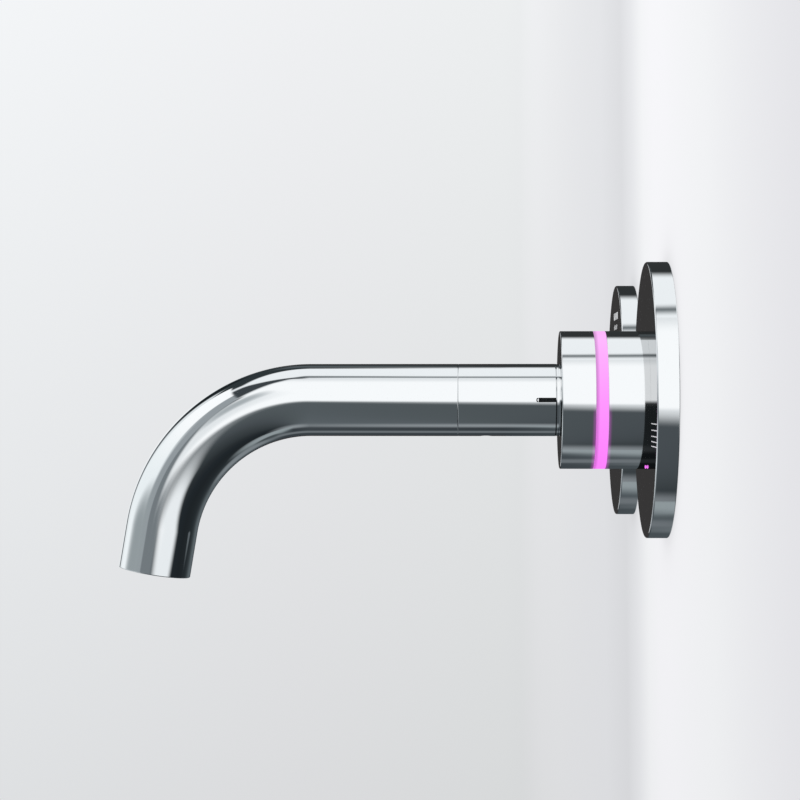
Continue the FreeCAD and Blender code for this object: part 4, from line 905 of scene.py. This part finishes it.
# the outlet and the housing are measured out from the spout's end, along its middle line
spoutSpec = {
    "spigot": [(39.8, 6.3), (39.8, 8.5), (42.4, 8.5), (42.4, 7.35), (44.0, 7.35), (44.0, 8.5), (45.8, 8.5),
               (45.8, 7.35), (47.4, 7.35), (47.4, 8.5), (60.4, 8.5), (60.4, 10.5, 0.15)],
    "radius": 10.5, "lastStraight": 13.3, "outlet": [(0, 10.5, 0.25), (0, 9.15, 0.25), (-9.6, 9.15), (-9.6, 8.6)],
    "bore": 8.6, "foot": [(62.4, 8.6), (62.4, 6.3)],
    "housing": [(-8.4, 6.5), (-8.4, 9.1), (-0.4, 9.1, 0.25), (-0.4, 7.4, 0.25), (-1.8, 7.4), (-1.8, 6.5)],
}


def makeSpout():
    start, steps = bendSpec["start"], round(bendSpec["degrees"])
    bendEnd = start + bendSpec["radius"] * math.radians(bendSpec["degrees"])
    bends = [start + (bendEnd - start) * n / steps for n in range(steps + 1)]
    end = bendEnd + spoutSpec["lastStraight"]
    outlet, housing = [[(end + spot[0], *spot[1:]) for spot in spoutSpec[key]] for key in ("outlet", "housing")]
    section = spoutSpec["spigot"] + [(out, spoutSpec["radius"]) for out in bends] + outlet
    section += [(out, spoutSpec["bore"]) for out in reversed(bends)] + spoutSpec["foot"]
    newPiece("spoutTube", sweptMesh("spoutTube", rounded(section), spoutAxis), [chrome], "root", "spout_tube")
    newPiece("aeratorHousing", sweptMesh("aeratorHousing", rounded(housing), spoutAxis), [chrome], "root",
             "aerator_housing")


knobSpec = {
    "section": [(8.35, 13.75), (13.5, 13.75), (13.5, 12.65), (14.265, 12.65), (14.265, 13.2), (15.415, 13.2),
                (15.415, 12.65), (16.8, 12.65), (16.8, 4.05), (18.6, 4.05), (18.6, 17.9), (22, 17.9, 0.2),
                (22, 20, 0.3), (6.9, 20, 0.2), (6.9, 17.3), (8.35, 17.3), (8.35, 16.9), (10.55, 16.9),
                (10.55, 14.7), (8.35, 14.7)],
    "markHalf": 0.4, "markOut": (18.5, 22.5), "markUp": (19.6, 20.6),
}


def makeKnob():
    knob = newPiece("knobShell", sweptMesh("knobShell", rounded(knobSpec["section"]), straightAxis(controlX)),
                    [chrome, finishes["recessPaintedShade"]], "knob", "knob")
    # the mark's cut faces take the recess's painted shade
    mark = [rectangle(controlX + side * knobSpec["markHalf"], knobSpec["markOut"], *knobSpec["markUp"])
            for side in (-1, 1)]
    cutAndPolish(knob, [lofted("mark", mark, 1)], controlX)


capSpec = {"mergeMm": 0.0001,
           "section": [(14.6, 0), (14.6, 4.0, 0.3), (15.85, 4.0), (15.85, 3.4), (16.65, 3.4), (16.65, 4.0), (20, 4.0),
                       (20, 6.2), (22.6, 6.2), (22.6, 7.2), (20, 7.2), (20, 17.6), (24, 17.6, 0.35), (24, 0)]}


def makeCap():
    mesh = sweptMesh("capShell", rounded(capSpec["section"]), straightAxis(controlX))
    shape = bmesh.new()
    shape.from_mesh(mesh)
    bmesh.ops.remove_doubles(shape, verts=shape.verts, dist=capSpec["mergeMm"] * mm)
    shape.to_mesh(mesh)
    shape.free()
    polish(mesh, controlX)
    newPiece("capShell", mesh, [chrome], "cap", "push_cap")


# each spring's still end is its anchor, in mm, and keep is the share of its length left at the joint's limit
springSpec = [
    {"name": "pushSpringCoil", "node": "push_spring", "body": "knob", "joint": "cap_push", "axis": (0, 1, 0),
     "anchor": (-125, -18.6, 0), "keep": 0.7},
    {"name": "hotCheckCoil", "node": "hot_check_spring", "body": "root", "joint": "hot_check_lift",
     "axis": (0, 0, 1), "anchor": (-150, 35, -11.5), "keep": 0.73},
    {"name": "coldCheckCoil", "node": "cold_check_spring", "body": "root", "joint": "cold_check_lift",
     "axis": (0, 0, 1), "anchor": (-100, 35, -11.5), "keep": 0.73},
    {"name": "solenoidCoilSpring", "node": "solenoid_spring", "body": "root", "joint": "solenoid_lift",
     "axis": (0, 0, 1), "anchor": (-125, 35, 42), "keep": 0.62},
]


def makeSprings():
    for spec in springSpec:
        mesh = nodes[spec["node"]].data.copy()
        mesh.materials.clear()
        piece = newPiece(spec["name"], mesh, [finishes["turnedStainless"]], spec["body"], spec["node"])
        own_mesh(piece)


makePlates()
makePlateTicks()
makeBody()
makePaintedGlint()
makeDial()
makeCollar()
makeSpout()
print("spout unit made")
makeKnob()
makeCap()
makeSprings()
print("control unit and springs made")
